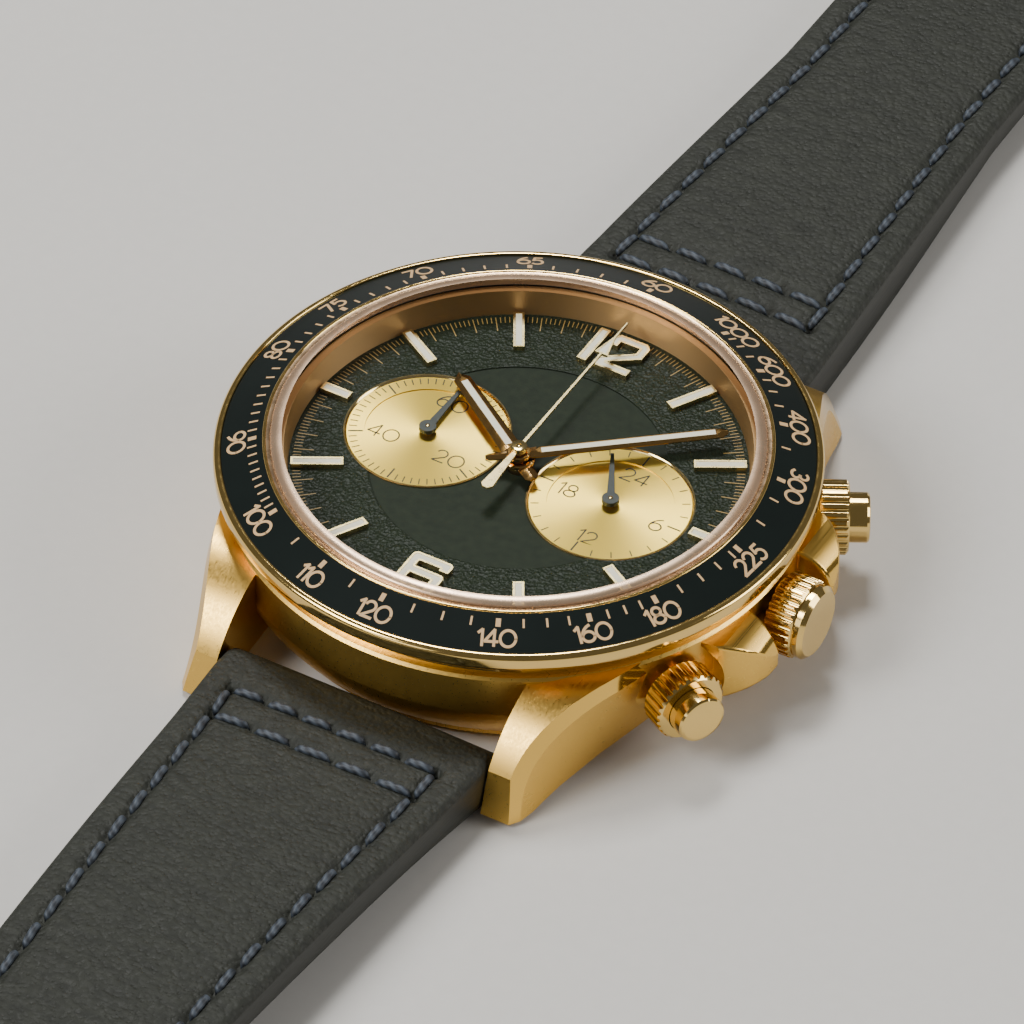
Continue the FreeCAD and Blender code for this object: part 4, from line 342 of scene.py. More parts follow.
GOLD = polished("gold_plate_polished", "#e8c577")  # a warm mirror
# The rose tone of this ring is painted reflection, carrying the crystal edge's pink band onto the bezel's
# lip.
GOLD_ROSE_PAINTED_REFLECTION = polished("gold_plate_satin_painted_rose_reflection", "#dfbd96", 0.22, 0.32)  # a pale rose ring beside the glass
GOLD_BRIGHT = polished("gold_plate_bright", "#f0d592", 0.08, 0.14)  # thin rims that catch the light
GOLD_SATIN = polished("gold_plate_satin", "#f2dca0", 0.24, 0.34)  # pale and soft, so it reads on the dial
BRONZE = polished("bronze_gold_hands", "#cc9f5c", 0.1, 0.2)  # deeper than the markers
SUNRAY = "#efcd5c", 1500.0, 0.33, 0.43, 0.12  # colour, spokes, gloss range, depth
REGISTER_LEFT = turned_lines("register_sunray_left", SUNRAY[0], -REGISTER_X, *SUNRAY[1:])
REGISTER_RIGHT = turned_lines("register_sunray_right", SUNRAY[0], REGISTER_X, *SUNRAY[1:])
RHODIUM = brushed("rhodium_plate_grained", "#b9b9b4", 0, 0.08)  # grey, lined from side to side
WHEEL = turned_lines("wheel_brass_turned", "#c9a257", low=0.3, high=0.45)
STEEL = brushed("steel_turned", "#a9abad", 2, 0.06)  # cold grey, lined up and down
HAND_BLACK = moulded("hand_lacquer_green_black", "#1b241f", "#252f29", 0.2, 0.35)
PRINT_GOLD = ink("print_gold_tone", "#cfa574", "#e2bd8a")
PRINT_TRACK = ink("print_track_bronze", "#a5864a", "#bd9d5a")
PRINT_BLACK = ink("print_black", "#14150f", "#1f1f15")
LEATHER = strap_leather()
LINING = strap_lining()
EDGE = edge_paint()
THREAD = sewing_thread()
RUBBER = moulded("nitrile_rubber", "#101010", "#1c1c1c", 0.3, 0.7)

# each finish, and the nodes that wear it
FINISH = (
    (case_gold(), ["case_middle"]),
    (turned_lines("gold_plate_back_turned", "#d6a650", low=0.25, high=0.4), ["caseback"]),
    (gloss_insert(), ["bezel_insert"]),
    (ring_lines("gold_plate_brushed_round", "#cba572"), ["rehaut"]),
    (grained_dial(), ["dial"]),
    (REGISTER_LEFT, ["subdial_minutes"]),
    (REGISTER_RIGHT, ["subdial_24h"]),
    (moulded("acetal_holder", "#c9c7bf", "#d8d6ce"), ["movement_holder"]),
    (moulded("circuit_board_lacquer", "#123f22", "#1c5a31", 1.2, 0.3), ["circuit_board"]),
    (brushed("soft_iron_core", "#8f8d88", 0), ["stator"]),
    (wound_copper(), ["coil"]),
    (RUBBER, ["caseback_gasket", "crystal_gasket"]),
    (RHODIUM, ["mainplate", "train_bridge"]),
    (WHEEL, ["cannon_pinion", "motion_wheel", "hour_wheel", "idler_wheel", "day_wheel", "third_wheel",
             "step_wheel", "counter_wheel"]),
    (STEEL, ["bridge_screws", "battery", "rotor", "sweep_arbor", "stem", "sliding_pinion", "crown_tube",
             "setting_lever", "start_spring", "reset_spring", "start_lever", "reset_lever", "spring_bars",
             "buckle_bar"]),
    (GOLD, ["crown", "start_button", "reset_button", "button_collars", "buckle_frame", "buckle_tongue"]),
    (GOLD_SATIN, ["sweep_hand", "hour_markers"]),
    (HAND_BLACK, ["minute_counter_hand", "day_hand"]),
    (luminous(), ["hour_hand_lume", "minute_hand_lume", "sweep_hand_lume", "marker_lume"]),
)


def dress_nodes():
    """Puts each finish on its nodes."""
    for finish, names in FINISH:
        for name in names:
            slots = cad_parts[name].data.materials
            slots.clear()
            slots.append(finish)


# ---- making meshes ----
def grid(points):
    """Quads of a rows x columns array of points, the last column joined to the first."""
    rows, columns = points.shape[:2]
    index = np.arange(rows * columns).reshape(rows, columns)
    index = np.concatenate([index, index[:, :1]], axis=1)
    quads = np.stack([index[:-1, :-1], index[1:, :-1], index[1:, 1:], index[:-1, 1:]], axis=-1)
    return points.reshape(-1, 3), quads.reshape(-1, 4)


def together(parts):
    """Several (points, faces) pairs as one."""
    base = np.cumsum([0] + [len(p) for p, _ in parts[:-1]])
    faces = []
    for (_, f), b in zip(parts, base):
        faces += (f + b).tolist() if isinstance(f, np.ndarray) else [[i + int(b) for i in q] for q in f]
    return np.concatenate([p for p, _ in parts]), faces


def capped(points):
    """A tube from rows of closed sections, with both ends closed by one face."""
    flat, quads = grid(points)
    rows, columns = points.shape[:2]
    first = list(range(columns))
    last = [(rows - 1) * columns + i for i in range(columns)]
    return flat, quads.tolist() + [first, last[::-1]]


def spun(profile, steps, centre=(0.0, 0.0)):
    """A profile of (radius, height) carried once round an upright axis."""
    a = np.linspace(0.0, TURN, steps + 1)[:, None]
    profile = np.array(profile, float)
    r, z = profile[None, :, 0], profile[None, :, 1]
    points = np.stack([centre[0] + r * np.cos(a), centre[1] + r * np.sin(a), z + 0 * a], axis=-1)
    return grid(points)


def piece(name, shape, body, materials, which=None, sharp=32.0, instead_of=()):
    """Puts a finished piece, given in millimetres, into the scene: merged, outward and smooth."""
    points, faces = shape
    faces = faces if isinstance(faces, list) else faces.tolist()
    mesh = bpy.data.meshes.new(name)
    mesh.from_pydata((np.asarray(points) * MM).tolist(), [], faces)
    for m in materials:
        mesh.materials.append(m)
    if which is not None:
        mesh.polygons.foreach_set("material_index", np.asarray(which, np.int32))
    work = bmesh.new()
    work.from_mesh(mesh)
    bmesh.ops.remove_doubles(work, verts=work.verts, dist=1e-7)
    bmesh.ops.recalc_face_normals(work, faces=work.faces)
    work.to_mesh(mesh)
    work.free()
    mesh.shade_smooth()
    mesh.set_sharp_from_angle(angle=np.radians(sharp))
    o = bpy.data.objects.new(name, mesh)
    bpy.context.scene.collection.objects.link(o)
    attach(o, body)
    if instead_of:
        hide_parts(*instead_of)
    return o


# ---- printing ----
def arc(cx, cy, rx, ry, start, stop, count=22):
    """Centre line along part of an ellipse, from one angle to another in degrees."""
    a = np.radians(np.linspace(start, stop, count))
    return np.stack([cx + rx * np.cos(a), cy + ry * np.sin(a)], axis=-1)


def digit_lines(digit):
    """Centre lines of a plain round digit, one unit high, and its width."""
    line = np.array
    if digit == "0":
        return [arc(0.46, 0.5, 0.46, 0.5, 0, 360, 40)], 0.92
    if digit == "1":
        return [line([(0.0, 0.8), (0.24, 1.0)]), line([(0.24, 1.0), (0.24, 0.0)])], 0.26
    if digit == "2":
        return [arc(0.33, 0.69, 0.32, 0.31, 165, -42), line([(0.57, 0.48), (0.0, 0.0)]),
                line([(0.0, 0.0), (0.7, 0.0)])], 0.7
    if digit == "3":
        return [arc(0.3, 0.755, 0.27, 0.245, 150, -90), arc(0.3, 0.265, 0.32, 0.265, 90, -150)], 0.64
    if digit == "4":
        return [line([(0.56, 0.0), (0.56, 1.0)]), line([(0.56, 1.0), (0.0, 0.27)]),
                line([(0.0, 0.27), (0.78, 0.27)])], 0.78
    if digit == "5":
        return [line([(0.6, 1.0), (0.17, 1.0)]), line([(0.17, 1.0), (0.09, 0.55)]),
                arc(0.32, 0.33, 0.34, 0.33, 130, -140)], 0.66
    if digit == "7":
        return [line([(0.0, 1.0), (0.64, 1.0)]), line([(0.64, 1.0), (0.2, 0.0)])], 0.66
    if digit == "8":
        return [arc(0.36, 0.755, 0.27, 0.245, 0, 360, 32), arc(0.36, 0.26, 0.34, 0.26, 0, 360, 32)], 0.72
    six = [arc(0.37, 0.31, 0.36, 0.31, 0, 360, 32), arc(0.86, 0.3, 0.85, 0.76, 176, 112, 12)]
    if digit == "9":
        six = [line([0.74, 1.0]) - path for path in six]
    return six, 0.74


def ribbon(path, width):
    """Flat ink along a centre line: a section of four corners at each point, ends closed."""
    along = np.gradient(path, axis=0)
    along /= np.linalg.norm(along, axis=1, keepdims=True)
    side = 0.5 * width * np.stack([-along[:, 1], along[:, 0]], axis=-1)
    path = path.copy()
    path[0] -= 0.25 * width * along[0]
    path[-1] += 0.25 * width * along[-1]
    left, right = path + side, path - side
    low, high = np.zeros(len(path)), np.ones(len(path))
    corners = (left, low), (left, high), (right, high), (right, low)
    return capped(np.stack([np.column_stack(c) for c in corners], axis=1))


def number(text, height, stroke, spacing):
    """A number's ribbons, centred on its own middle."""
    parts, x = [], 0.0
    for digit in text:
        lines, width = digit_lines(digit)
        for path in lines:
            parts.append(ribbon((path + [x, -0.5]) * height, stroke))
        x += width + spacing
    points, faces = together(parts)
    points[:, 0] -= 0.5 * (x - spacing) * height
    return points, faces


def turn_to(points, clockwise):
    """Turns points about the dial's middle, in degrees."""
    a = np.radians(clockwise)
    x, y = points[:, 0], points[:, 1]
    return np.column_stack([x * np.cos(a) + y * np.sin(a), y * np.cos(a) - x * np.sin(a), points[:, 2]])


def on_circle(points, clockwise, radius, inward=False):
    """Turns flat (across, up, thickness) points to an angle and a radius, tops out or tops in."""
    sign = -1.0 if inward else 1.0
    return turn_to(points * [sign, sign, 1.0] + [0.0, radius, 0.0], clockwise)


def ticks(clockwise, inner, outer, width):
    """Printed strokes that point to the centre: eight corners each, as whole arrays."""
    a = np.radians(np.asarray(clockwise, float))[:, None]
    inner, outer, width = (np.broadcast_to(np.asarray(v, float), (len(a),))[:, None]
                           for v in (inner, outer, width))
    side = 0.5 * width * np.array([[-1, 1, 1, -1] * 2])
    out = np.where(np.array([[True, True, False, False] * 2]), outer, inner)
    high = np.broadcast_to(np.array([[0.0] * 4 + [1.0] * 4]), out.shape)
    points = np.stack([side * np.cos(a) + out * np.sin(a), out * np.cos(a) - side * np.sin(a), high], axis=-1)
    box = np.array([(0, 1, 2, 3), (4, 7, 6, 5), (0, 4, 5, 1), (1, 5, 6, 2), (2, 6, 7, 3), (3, 7, 4, 0)])
    faces = box[None] + 8 * np.arange(len(a))[:, None, None]
    return points.reshape(-1, 3), faces.reshape(-1, 4)


def laid(shape, height, ink_thick=0.014, centre=(0.0, 0.0)):
    """Lays ink, sunk a little, on a surface whose height depends on the radius."""
    sink = 0.006
    points, faces = shape
    z = height(np.hypot(points[:, 0], points[:, 1])) - sink + (ink_thick + sink) * points[:, 2]
    return np.column_stack([points[:, 0] + centre[0], points[:, 1] + centre[1], z]), faces


def insert_height(r):
    """Height of the bezel insert's cone at a radius."""
    return INSERT_IN_Z + (r - INSERT_IN_R) * (INSERT_OUT_Z - INSERT_IN_Z) / (INSERT_OUT_R - INSERT_IN_R)


def tachymeter_print():
    """Speed scale: a speed N stands at 21600 / N degrees. Bold stroke at each number, thin between."""
    numbers = [60, 65, 70, 75, 80, 90, 100, 110, 120, 140, 160, 180, 225, 300, 400, 600, 1000]
    inward = {90, 100, 110, 120, 140, 160, 180, 225}
    high, stroke, spacing, middle_r = 1.18, 0.2, 0.13, 20.02
    parts = []
    for n in numbers:
        points, faces = number(str(n), high, stroke, spacing)
        parts.append((on_circle(points, 21600 / n, middle_r, n in inward), faces))
    thin = [v for v in range(61, 100) if v not in numbers]
    thin += [105, 115, 125, 130, 135, 145, 150, 155, 165, 170, 175, 190, 200, 210, 220, 250, 275, 350, 450,
             500, 550, 700, 800, 900]
    foot_r = 18.6
    parts.append(ticks([21600 / n for n in numbers], foot_r, 19.2, 0.36))
    parts.append(ticks([21600 / v for v in thin], foot_r, 19.25, 0.15))
    shape = laid(together(parts), insert_height)
    piece("tachymeter_print", shape, "watch_head", [PRINT_GOLD])


def minute_track():
    """Fifth-of-a-second strokes round the dial, longer at each second."""
    fifths = np.arange(300) * 1.2
    whole = np.arange(300) % 5 == 0
    shape = ticks(fifths, np.where(whole, 14.65, 15.5), 16.1, np.where(whole, 0.07, 0.06))
    shape = laid(shape, lambda r: DIAL_Z + 0 * r, 0.012)
    piece("minute_track_print", shape, "watch_head", [PRINT_TRACK])


def register_print():
    """Black scale of each register: 60 strokes, long at each ten, and 24 strokes, long at each six."""
    def height(r):
        return np.where(r < DISH_R, DISH_Z, REGISTER_Z)

    high, stroke, spacing = 1.24, 0.105, 0.18
    for side, count, every, names in (
            (-1, 60, 10, (("60", 0.05, 3.5), ("20", 2.8, -1.7), ("40", -2.65, -1.65))),
            (1, 24, 6, (("24", 0.15, 3.4), ("6", 3.85, -0.2), ("12", 0.25, -3.8), ("18", -3.35, -0.2)))):
        step = np.arange(count)
        long = step % every == 0
        parts = [ticks(step * 360 / count, np.where(long, 4.62, 5.08), 5.66, np.where(long, 0.12, 0.08))]
        for text, x, y in names:
            points, faces = number(text, high, stroke, spacing)
            parts.append((points + [x, y, 0], faces))
        shape = laid(together(parts), height, 0.012, (side * REGISTER_X, 0.0))
        piece("register_print_" + ("left" if side < 0 else "right"), shape, "watch_head",
              [PRINT_BLACK])


def register_rims():
    """Bright bevelled ring round each register."""
    profile = [(5.78, 8.86), (5.8, 8.92), (5.93, 9.03), (6.03, 9.03), (6.06, 8.98), (6.06, 8.86)]
    parts = [spun(profile, 120, (x, 0.0)) for x in (-REGISTER_X, REGISTER_X)]
    piece("register_rims", together(parts), "watch_head", [GOLD_BRIGHT])


# ---- bezel and crystal ----
def corner(cx, cz, radius, start, stop, count=7, height=None):
    """Points of a rounded corner of a profile: part of a circle, or of an ellipse of another height."""
    a = np.radians(np.linspace(start, stop, count))
    rise = radius if height is None else height
    return [(cx + radius * c, cz + rise * z) for c, z in zip(np.cos(a), np.sin(a))]


def bezel():
    """Polished bezel: round outer rim, printed insert's seat, narrow lip, satin inner step in painted rose
    reflection.
    """
    profile = [(18.45, 8.0), (20.5, 8.0), (20.5, 9.2), (21.34, 9.35)]
    profile += corner(21.3, 9.75, 0.4, -80, 0) + corner(21.3, 10.31, 0.4, 0, 84)
    profile += [(21.24, 10.72), (21.18, 10.7), (21.15, 10.66), (21.15, 10.0), (18.18, 11.1)]
    profile += corner(18.05, 11.71, 0.13, 0, 160, 9, 0.1)
    lip = len(profile)
    profile += [(17.9, 11.735), (17.67, 11.72), (17.64, 11.7)]
    satin = len(profile)
    profile += [(17.64, 10.95), (17.3, 10.95), (17.3, 9.05), (18.45, 9.05), (18.45, 8.0)]
    steps = 360
    # The satin inner step takes the painted rose reflection; the rest of the bezel is plain gold.
    column = [1 if lip <= i + 1 < satin else 0 for i in range(len(profile))]
    piece("bezel_polished", spun(profile, steps), "watch_head", [GOLD, GOLD_ROSE_PAINTED_REFLECTION], column * steps,
          instead_of=("bezel",))


def crystal():
    """Flat glass disc. Its top and foot are clear; its ground edge and wall carry a rose painted reflection.
    """
    profile = [(0.0, 11.06), (17.36, 11.06), (17.38, 11.1), (17.38, 11.71)]
    profile += corner(16.84, 11.715, 0.78, 0, 90, 9, 0.335) + [(16.8, 12.05), (0.0, 12.05)]
    steps = 300
    # The edge and wall take the painted rose reflection; the top and foot stay clear.
    band = np.tile([0] + [1] * (len(profile) - 3) + [0, 0], steps)
    piece("crystal_glass", spun(profile, steps), "watch_head", [clear_crystal(), ground_bevel()],
          band, instead_of=("crystal",))


# ---- hands ----
def faceted_blade(stations, z0, z1):
    """Two-sided roof along +Y. A station is (y, half width, ridge half width, groove depth)."""
    y, half, ridge, depth = np.array(stations, float).T
    shoulder = np.full_like(y, z0 + 0.09)
    low, top, floor = np.full_like(y, z0), np.full_like(y, z1), z1 - depth
    wall = np.maximum(ridge - 0.03, 0.3 * ridge)
    columns = [(-half, low), (-half, shoulder), (-ridge, top), (-wall, top), (-wall, floor),
               (wall, floor), (wall, top), (ridge, top), (half, shoulder), (half, low)]
    return capped(np.stack([np.column_stack([x, y, z]) for x, z in columns], axis=1))


def main_hand(name, body, node, length, near, far, z0, bore, angle):
    """Bevelled baton hand with a channel for its luminous paste, and a boss on its tube."""
    thick, tail, ridge, deep = 0.27, 2.4, 0.02, 0.14
    z1 = z0 + thick
    start, stop, rim = 1.58, length - 0.86, 0.3  # the channel's ends, and half its width

    def half(y):
        return near + (far - near) * (y - 1.0) / (length - 1.0)

    stations = [(-tail, 0.3 * near, ridge, 0), (-tail + 0.25, 0.62 * near, ridge, 0),
                (0.0, 0.8 * near, ridge, 0), (1.2, half(1.2), ridge, 0), (start - 0.01, half(start), rim, 0),
                (start, half(start), rim, deep), (stop, half(stop), rim, deep),
                (stop + 0.01, half(stop), rim, 0), (length - 0.5, half(length - 0.5), ridge, 0),
                (length, 0.1, ridge, 0)]
    blade = faceted_blade(stations, z0, z1)
    boss = spun([(bore + 0.01, z0), (bore + 0.36, z0), (bore + 0.42, z0 + 0.06), (bore + 0.42, z1 + 0.02),
                 (bore + 0.34, z1 + 0.08), (bore + 0.01, z1 + 0.08)], 60)
    points, faces = together([blade, boss])
    piece(name, (turn_to(points, angle), faces), body, [BRONZE], sharp=20.0,
          instead_of=(node,))


def hub_caps():
    """Polished collet and stud of the sweep hand, and the small bright rivets of the register hands."""
    collet = spun([(0.21, 10.8), (0.6, 10.8), (0.62, 10.86), (0.6, 10.95), (0.46, 11.0), (0.21, 11.0)], 48)
    stud = spun([(0.0, 10.75), (0.2, 10.75), (0.2, 10.98), (0.12, 11.02), (0.0, 11.03)], 32)
    piece("sweep_hub", together([collet, stud]), "sweep_hand_body", [GOLD_BRIGHT])
    for x, body in ((-REGISTER_X, "counter_hand_body"), (REGISTER_X, "day_hand_body")):
        rivet = spun([(0.0, 9.4), (0.17, 9.4), (0.17, 9.48), (0.1, 9.51), (0.0, 9.52)], 24, (x, 0.0))
        piece("rivet_" + body, rivet, body, [GOLD_BRIGHT])


# ---- strap ----
def through(knots, y):
    """Smooth height through (y, z) knots: a cubic between each two, with the slopes of their neighbours."""
    ky, kz = np.array(knots, float).T
    slope = np.gradient(kz, ky)
    i = np.clip(np.searchsorted(ky, y) - 1, 0, len(ky) - 2)
    span = ky[i + 1] - ky[i]
    s = np.clip((y - ky[i]) / span, 0.0, 1.0)
    return ((1 + 2 * s) * (1 - s) ** 2 * kz[i] + s * (1 - s) ** 2 * span * slope[i]
            + s ** 2 * (3 - 2 * s) * kz[i + 1] - s ** 2 * (1 - s) * span * slope[i + 1])


def strap_half_width(y, tip=False):
    """Half width: straight, tapered, straight, and round at the tail's tip."""
    half = np.interp(y, [TAPER_START, TAPER_END], [WIDE, SLIM])
    if tip:
        past = (y - TIP_START) / SLIM
        half = np.where(y > TIP_START, SLIM * np.sqrt(np.clip(1 - past ** 2, 0, 1)), half)
    return half


# the leather's top and lining, as (place along the strap, height)
TAIL_TOP = [(22.7, 4.2), (29.5, 4.55), (42.8, 5.35), (60.7, 5.6), (91.7, 4.31), (122.7, 2.65), (143.7, 2.36)]
TAIL_LOW = [(22.7, 0.2), (29.5, 1.26), (42.8, 2.4), (60.7, 3.0), (91.7, 1.74), (122.7, 0.25), (143.7, 0.06)]
SHORT_TOP = [(22.7, 4.2), (29.7, 4.4), (58.0, 4.05), (75.0, 3.85), (90.0, 3.85), (97.7, 2.9)]
SHORT_LOW = [(22.7, 0.2), (36.0, 0.12), (58.0, 1.25), (75.0, 1.25), (90.0, 1.25), (97.7, 0.3)]


def strap_faces(y, short):
    """Heights of the leather's top and lining at the middle of the strap, round at the folds."""
    top = through(SHORT_TOP if short else TAIL_TOP, y)
    low = through(SHORT_LOW if short else TAIL_LOW, y)
    near = np.sqrt(np.clip(FOLD_R ** 2 - (BAR_Y - y) ** 2, 0, None))
    top = np.where(y < BAR_Y, BAR_Z + near, top)
    low = np.where(y < BAR_Y, BAR_Z - near, low)
    if short:
        far = np.sqrt(np.clip(BUCKLE_FOLD_R ** 2 - (y - BUCKLE_Y) ** 2, 0, None))
        top = np.where(y > BUCKLE_Y, BUCKLE_Z + far, top)
        low = np.where(y > BUCKLE_Y, BUCKLE_Z - far, low)
    return top, low


def stitch_rows(short):
    """Paths of the sewing: down one side, round the far end and back, and the rows across."""
    rows_across = SHORT_ROWS if short else TAIL_ROWS
    y = np.linspace(rows_across[0], SHORT_SEWN_TO if short else TIP_START, 200)
    side = np.column_stack([strap_half_width(y) - STITCH_INSET, y])
    if short:
        across = np.linspace(side[-1, 0], -side[-1, 0], 30)[1:-1]
        end = np.column_stack([across, np.full(len(across), SHORT_SEWN_TO)])
    else:
        a = np.linspace(0, np.pi, 40)[1:-1]
        r = SLIM - STITCH_INSET
        end = np.column_stack([r * np.cos(a), TIP_START + r * np.sin(a)])
    back = side[::-1] * [-1, 1]
    paths = [np.concatenate([side, end, back])]
    for row in rows_across:
        x = float(strap_half_width(row)) - STITCH_INSET
        paths.append(np.column_stack([np.linspace(x, -x, 60), np.full(60, row)]))
    return paths


def evenly(path, pitch):
    """Points at equal steps along a path."""
    step = np.concatenate([[0], np.cumsum(np.linalg.norm(np.diff(path, axis=0), axis=1))])
    count = max(2, int(round(step[-1] / pitch)))
    s = np.linspace(0, step[-1], count + 1)
    return np.column_stack([np.interp(s, step, path[:, 0]), np.interp(s, step, path[:, 1])])


def sewing_dent(x, y, short):
    """Furrow along the sewing, deeper at each needle hole: both bell curves of the distance."""
    furrow_deep, furrow_wide, over, hole_deep, hole_reach = 0.2, 0.5, 0.3, 0.4, 1.2

    def furrow(away):
        return furrow_deep * np.exp(-(away / furrow_wide) ** 2)

    half = strap_half_width(y, not short)
    rows_across = SHORT_ROWS + (SHORT_SEWN_TO,) if short else TAIL_ROWS
    sides = (y > rows_across[0] - over) & (y < (SHORT_SEWN_TO if short else TIP_START))
    depth = np.where(sides, furrow(np.abs(half - np.abs(x) - STITCH_INSET)), 0.0)
    if not short:
        round_tip = np.abs(np.hypot(x, y - TIP_START) - (SLIM - STITCH_INSET))
        depth = np.where(y >= TIP_START, furrow(round_tip), depth)
    inside = np.abs(x) < half - STITCH_INSET + over
    for row in rows_across:
        depth = np.maximum(depth, np.where(inside, furrow(y - row), 0))
    for path in stitch_rows(short):
        for hx, hy in evenly(path, STITCH_PITCH):
            near = np.abs(y[:, 0] - hy) < hole_reach
            if near.any():
                d2 = (x[near] - hx) ** 2 + (y[near] - hy) ** 2
                depth[near] += hole_deep * np.exp(-d2 / 0.1)
    return depth


def leather_top(x, y, short):
    """Height of the leather's face: padded middle, furrows along the sewing, rolled edges."""
    top, low = strap_faces(y, short)
    half = np.maximum(strap_half_width(y, not short), 1e-3)
    padding = np.interp(y, [24.0, 30.0, 60.0, 80.0], [0.1, 0.32, 0.28, 0.12])
    bow = padding * (np.abs(x) / half) ** 2.5
    roll_wide, roll_deep = 0.6, 0.5
    edge = np.clip(1 - (half - np.abs(x)) / roll_wide, 0, 1)
    roll = roll_deep * (1 - np.sqrt(np.clip(1 - edge ** 2, 0, 1)))
    height = top - bow - roll - sewing_dent(x, y, short)
    return np.maximum(height, 0.5 * (top + low))


def strap_shell(short):
    """Closed shell: a cross-section for each row, over the top, down one edge, back along the lining."""
    fold = np.linspace(0, 0.5 * np.pi, 10)
    tip = np.linspace(0, 0.5 * np.pi, 48)
    if short:
        rows = [np.arange(23.0, 97.4, 0.3), BUCKLE_Y + BUCKLE_FOLD_R * np.sin(fold)]
    else:
        rows = [np.arange(23.0, TIP_START - 0.1, 0.32), TIP_START + SLIM * np.sin(tip)]
    y = np.concatenate([BAR_Y - FOLD_R * np.cos(fold)] + rows)[:, None]
    s = np.linspace(-1, 1, 79)
    s = 0.7 * s + 0.3 * np.sin(0.5 * np.pi * s)  # columns stand closer near the edges
    half = strap_half_width(y, not short)
    x = half * s[None, :]
    top = leather_top(x, y + 0 * x, short)
    high_mid, low_mid = strap_faces(y, short)
    roll_wide, roll_deep = 0.35, 0.3
    under = np.clip(1 - (half - np.abs(x)) / roll_wide, 0, 1)
    low = np.minimum(low_mid + roll_deep * (1 - np.sqrt(1 - under ** 2)), 0.5 * (low_mid + high_mid))
    k = np.array([0.2, 0.5, 0.8])[None, :]
    right = top[:, -1:] * (1 - k) + low[:, -1:] * k
    left = low[:, :1] * (1 - k) + top[:, :1] * k
    bulge = 1 + 0.004 * np.sin(np.pi * k)
    xs = np.concatenate([x, half * bulge, x[:, ::-1], -half * bulge], axis=1)
    zs = np.concatenate([top, right, low[:, ::-1], left], axis=1)
    points = np.stack([xs, y + 0 * xs, zs], axis=-1)
    n = len(s)
    column = np.array([0] * (n - 1) + [1] * 4 + [2] * (n - 1) + [1] * 4)
    which = np.tile(column, len(y) - 1)
    return *grid(points), which


def cutters(short):
    """Solids that leave the holes, the tongue's slot and the tunnels for the bars."""
    def rod(y, z, r):
        a = np.linspace(0, TURN, 33)[:-1]
        section = y + r * np.cos(a), z + r * np.sin(a)
        return capped(np.stack([np.column_stack([np.full(len(a), x), *section]) for x in (-12.0, 12.0)]))

    parts = [rod(BAR_Y, BAR_Z, 0.76)]
    if short:
        parts.append(rod(BUCKLE_Y, BUCKLE_Z, 0.66))
        slot, slot_y, out_y = 1.5, 94.2, 101.0  # its half width, its round end, past the leather
        a = np.linspace(0, np.pi, 24)
        round_end = np.column_stack([slot * np.cos(a), slot_y - slot * np.sin(a)])
        outlines = [np.concatenate([round_end, [(-slot, out_y), (slot, out_y)]])]
    else:
        a = np.linspace(0, TURN, 41)[:-1]
        outlines = [np.column_stack([np.cos(a), BAR_Y + HOLE_PLACE + HOLE_PITCH * i + np.sin(a)])
                    for i in range(HOLE_COUNT)]
    for outline in outlines:
        rows = [np.column_stack([outline, np.full(len(outline), z)]) for z in (-1.0, 8.0)]
        parts.append(capped(np.stack(rows)))
    return together(parts)


def strap(name, node, body, short):
    """Leather half with its holes cut. The tail half lies towards 6 o'clock."""
    points, quads, which = strap_shell(short)
    cut_points, cut_faces = cutters(short)
    side = np.array([1, 1, 1]) if short else np.array([1, -1, 1])
    o = piece(name, (points * side, quads), body, [LEATHER, EDGE, LINING], which, sharp=50.0,
              instead_of=(node,))
    tool = bpy.data.meshes.new("cutter")
    tool.from_pydata((cut_points * side * MM).tolist(), [], cut_faces)
    work = bmesh.new()
    work.from_mesh(tool)
    bmesh.ops.recalc_face_normals(work, faces=work.faces)
    work.to_mesh(tool)
    work.free()
    tool_object = bpy.data.objects.new("cutter", tool)
    bpy.context.scene.collection.objects.link(tool_object)
    cut = o.modifiers.new("holes", "BOOLEAN")
    cut.operation = "DIFFERENCE"
    cut.solver = "EXACT"
    cut.object = tool_object
    graph = bpy.context.evaluated_depsgraph_get()
    graph.update()
    finished = bpy.data.meshes.new_from_object(o.evaluated_get(graph))
    o.modifiers.clear()
    o.data = finished
    bpy.data.objects.remove(tool_object)


def stitches(name, body, short):
    """Thread: a capsule for each stitch, sunk at both ends, leaning a little across its row."""
    starts, ends = [], []
    for path in stitch_rows(short):
        holes = evenly(path, STITCH_PITCH)
        starts.append(holes[:-1])
        ends.append(holes[1:])
    a, b = np.concatenate(starts), np.concatenate(ends)
    run = b - a
    run /= np.linalg.norm(run, axis=1, keepdims=True)
    across = np.stack([-run[:, 1], run[:, 0]], axis=-1)
    gap, lean, width = 0.16, 0.1, 0.3
    a = a + gap * run + lean * across
    b = b - gap * run - lean * across
    s = np.linspace(0, 1, 9)
    phi = np.linspace(0, TURN, 9)[:-1]
    line = a[:, None] + s[None, :, None] * (b - a)[:, None]
    x, y = line[..., 0], line[..., 1]
    thick = np.sqrt(np.clip(1 - np.abs(2 * s - 1) ** 5, 0, 1))
    parts = []
    for top in (True, False):
        if top:
            at = x.reshape(-1, 1), y.reshape(-1, 1), short
            surface = (leather_top(*at) + sewing_dent(*at)).reshape(x.shape) - 0.12
            rise, lift, dip = 0.28, 0.1, 0.4
        else:
            surface = strap_faces(y, short)[1] + 0.04
            rise, lift, dip = 0.09, 0.0, -0.3
        middle = surface + lift - dip * np.abs(2 * s - 1) ** 4
        r = thick[None, :, None]
        px = x[..., None] + width * r * np.cos(phi) * across[:, None, None, 0]
        py = y[..., None] + width * r * np.cos(phi) * across[:, None, None, 1]
        pz = middle[..., None] + rise * r * np.sin(phi)
        if not short:
            py = -py
        points = np.stack([px, py, pz], axis=-1)
        count, rows, columns = px.shape
        capsule = grid(points[0])[1]
        quads = (capsule[None] + rows * columns * np.arange(count)[:, None, None]).reshape(-1, 4)
        parts.append((points.reshape(-1, 3), quads))
    piece(name, together(parts), body, [THREAD], sharp=60.0)


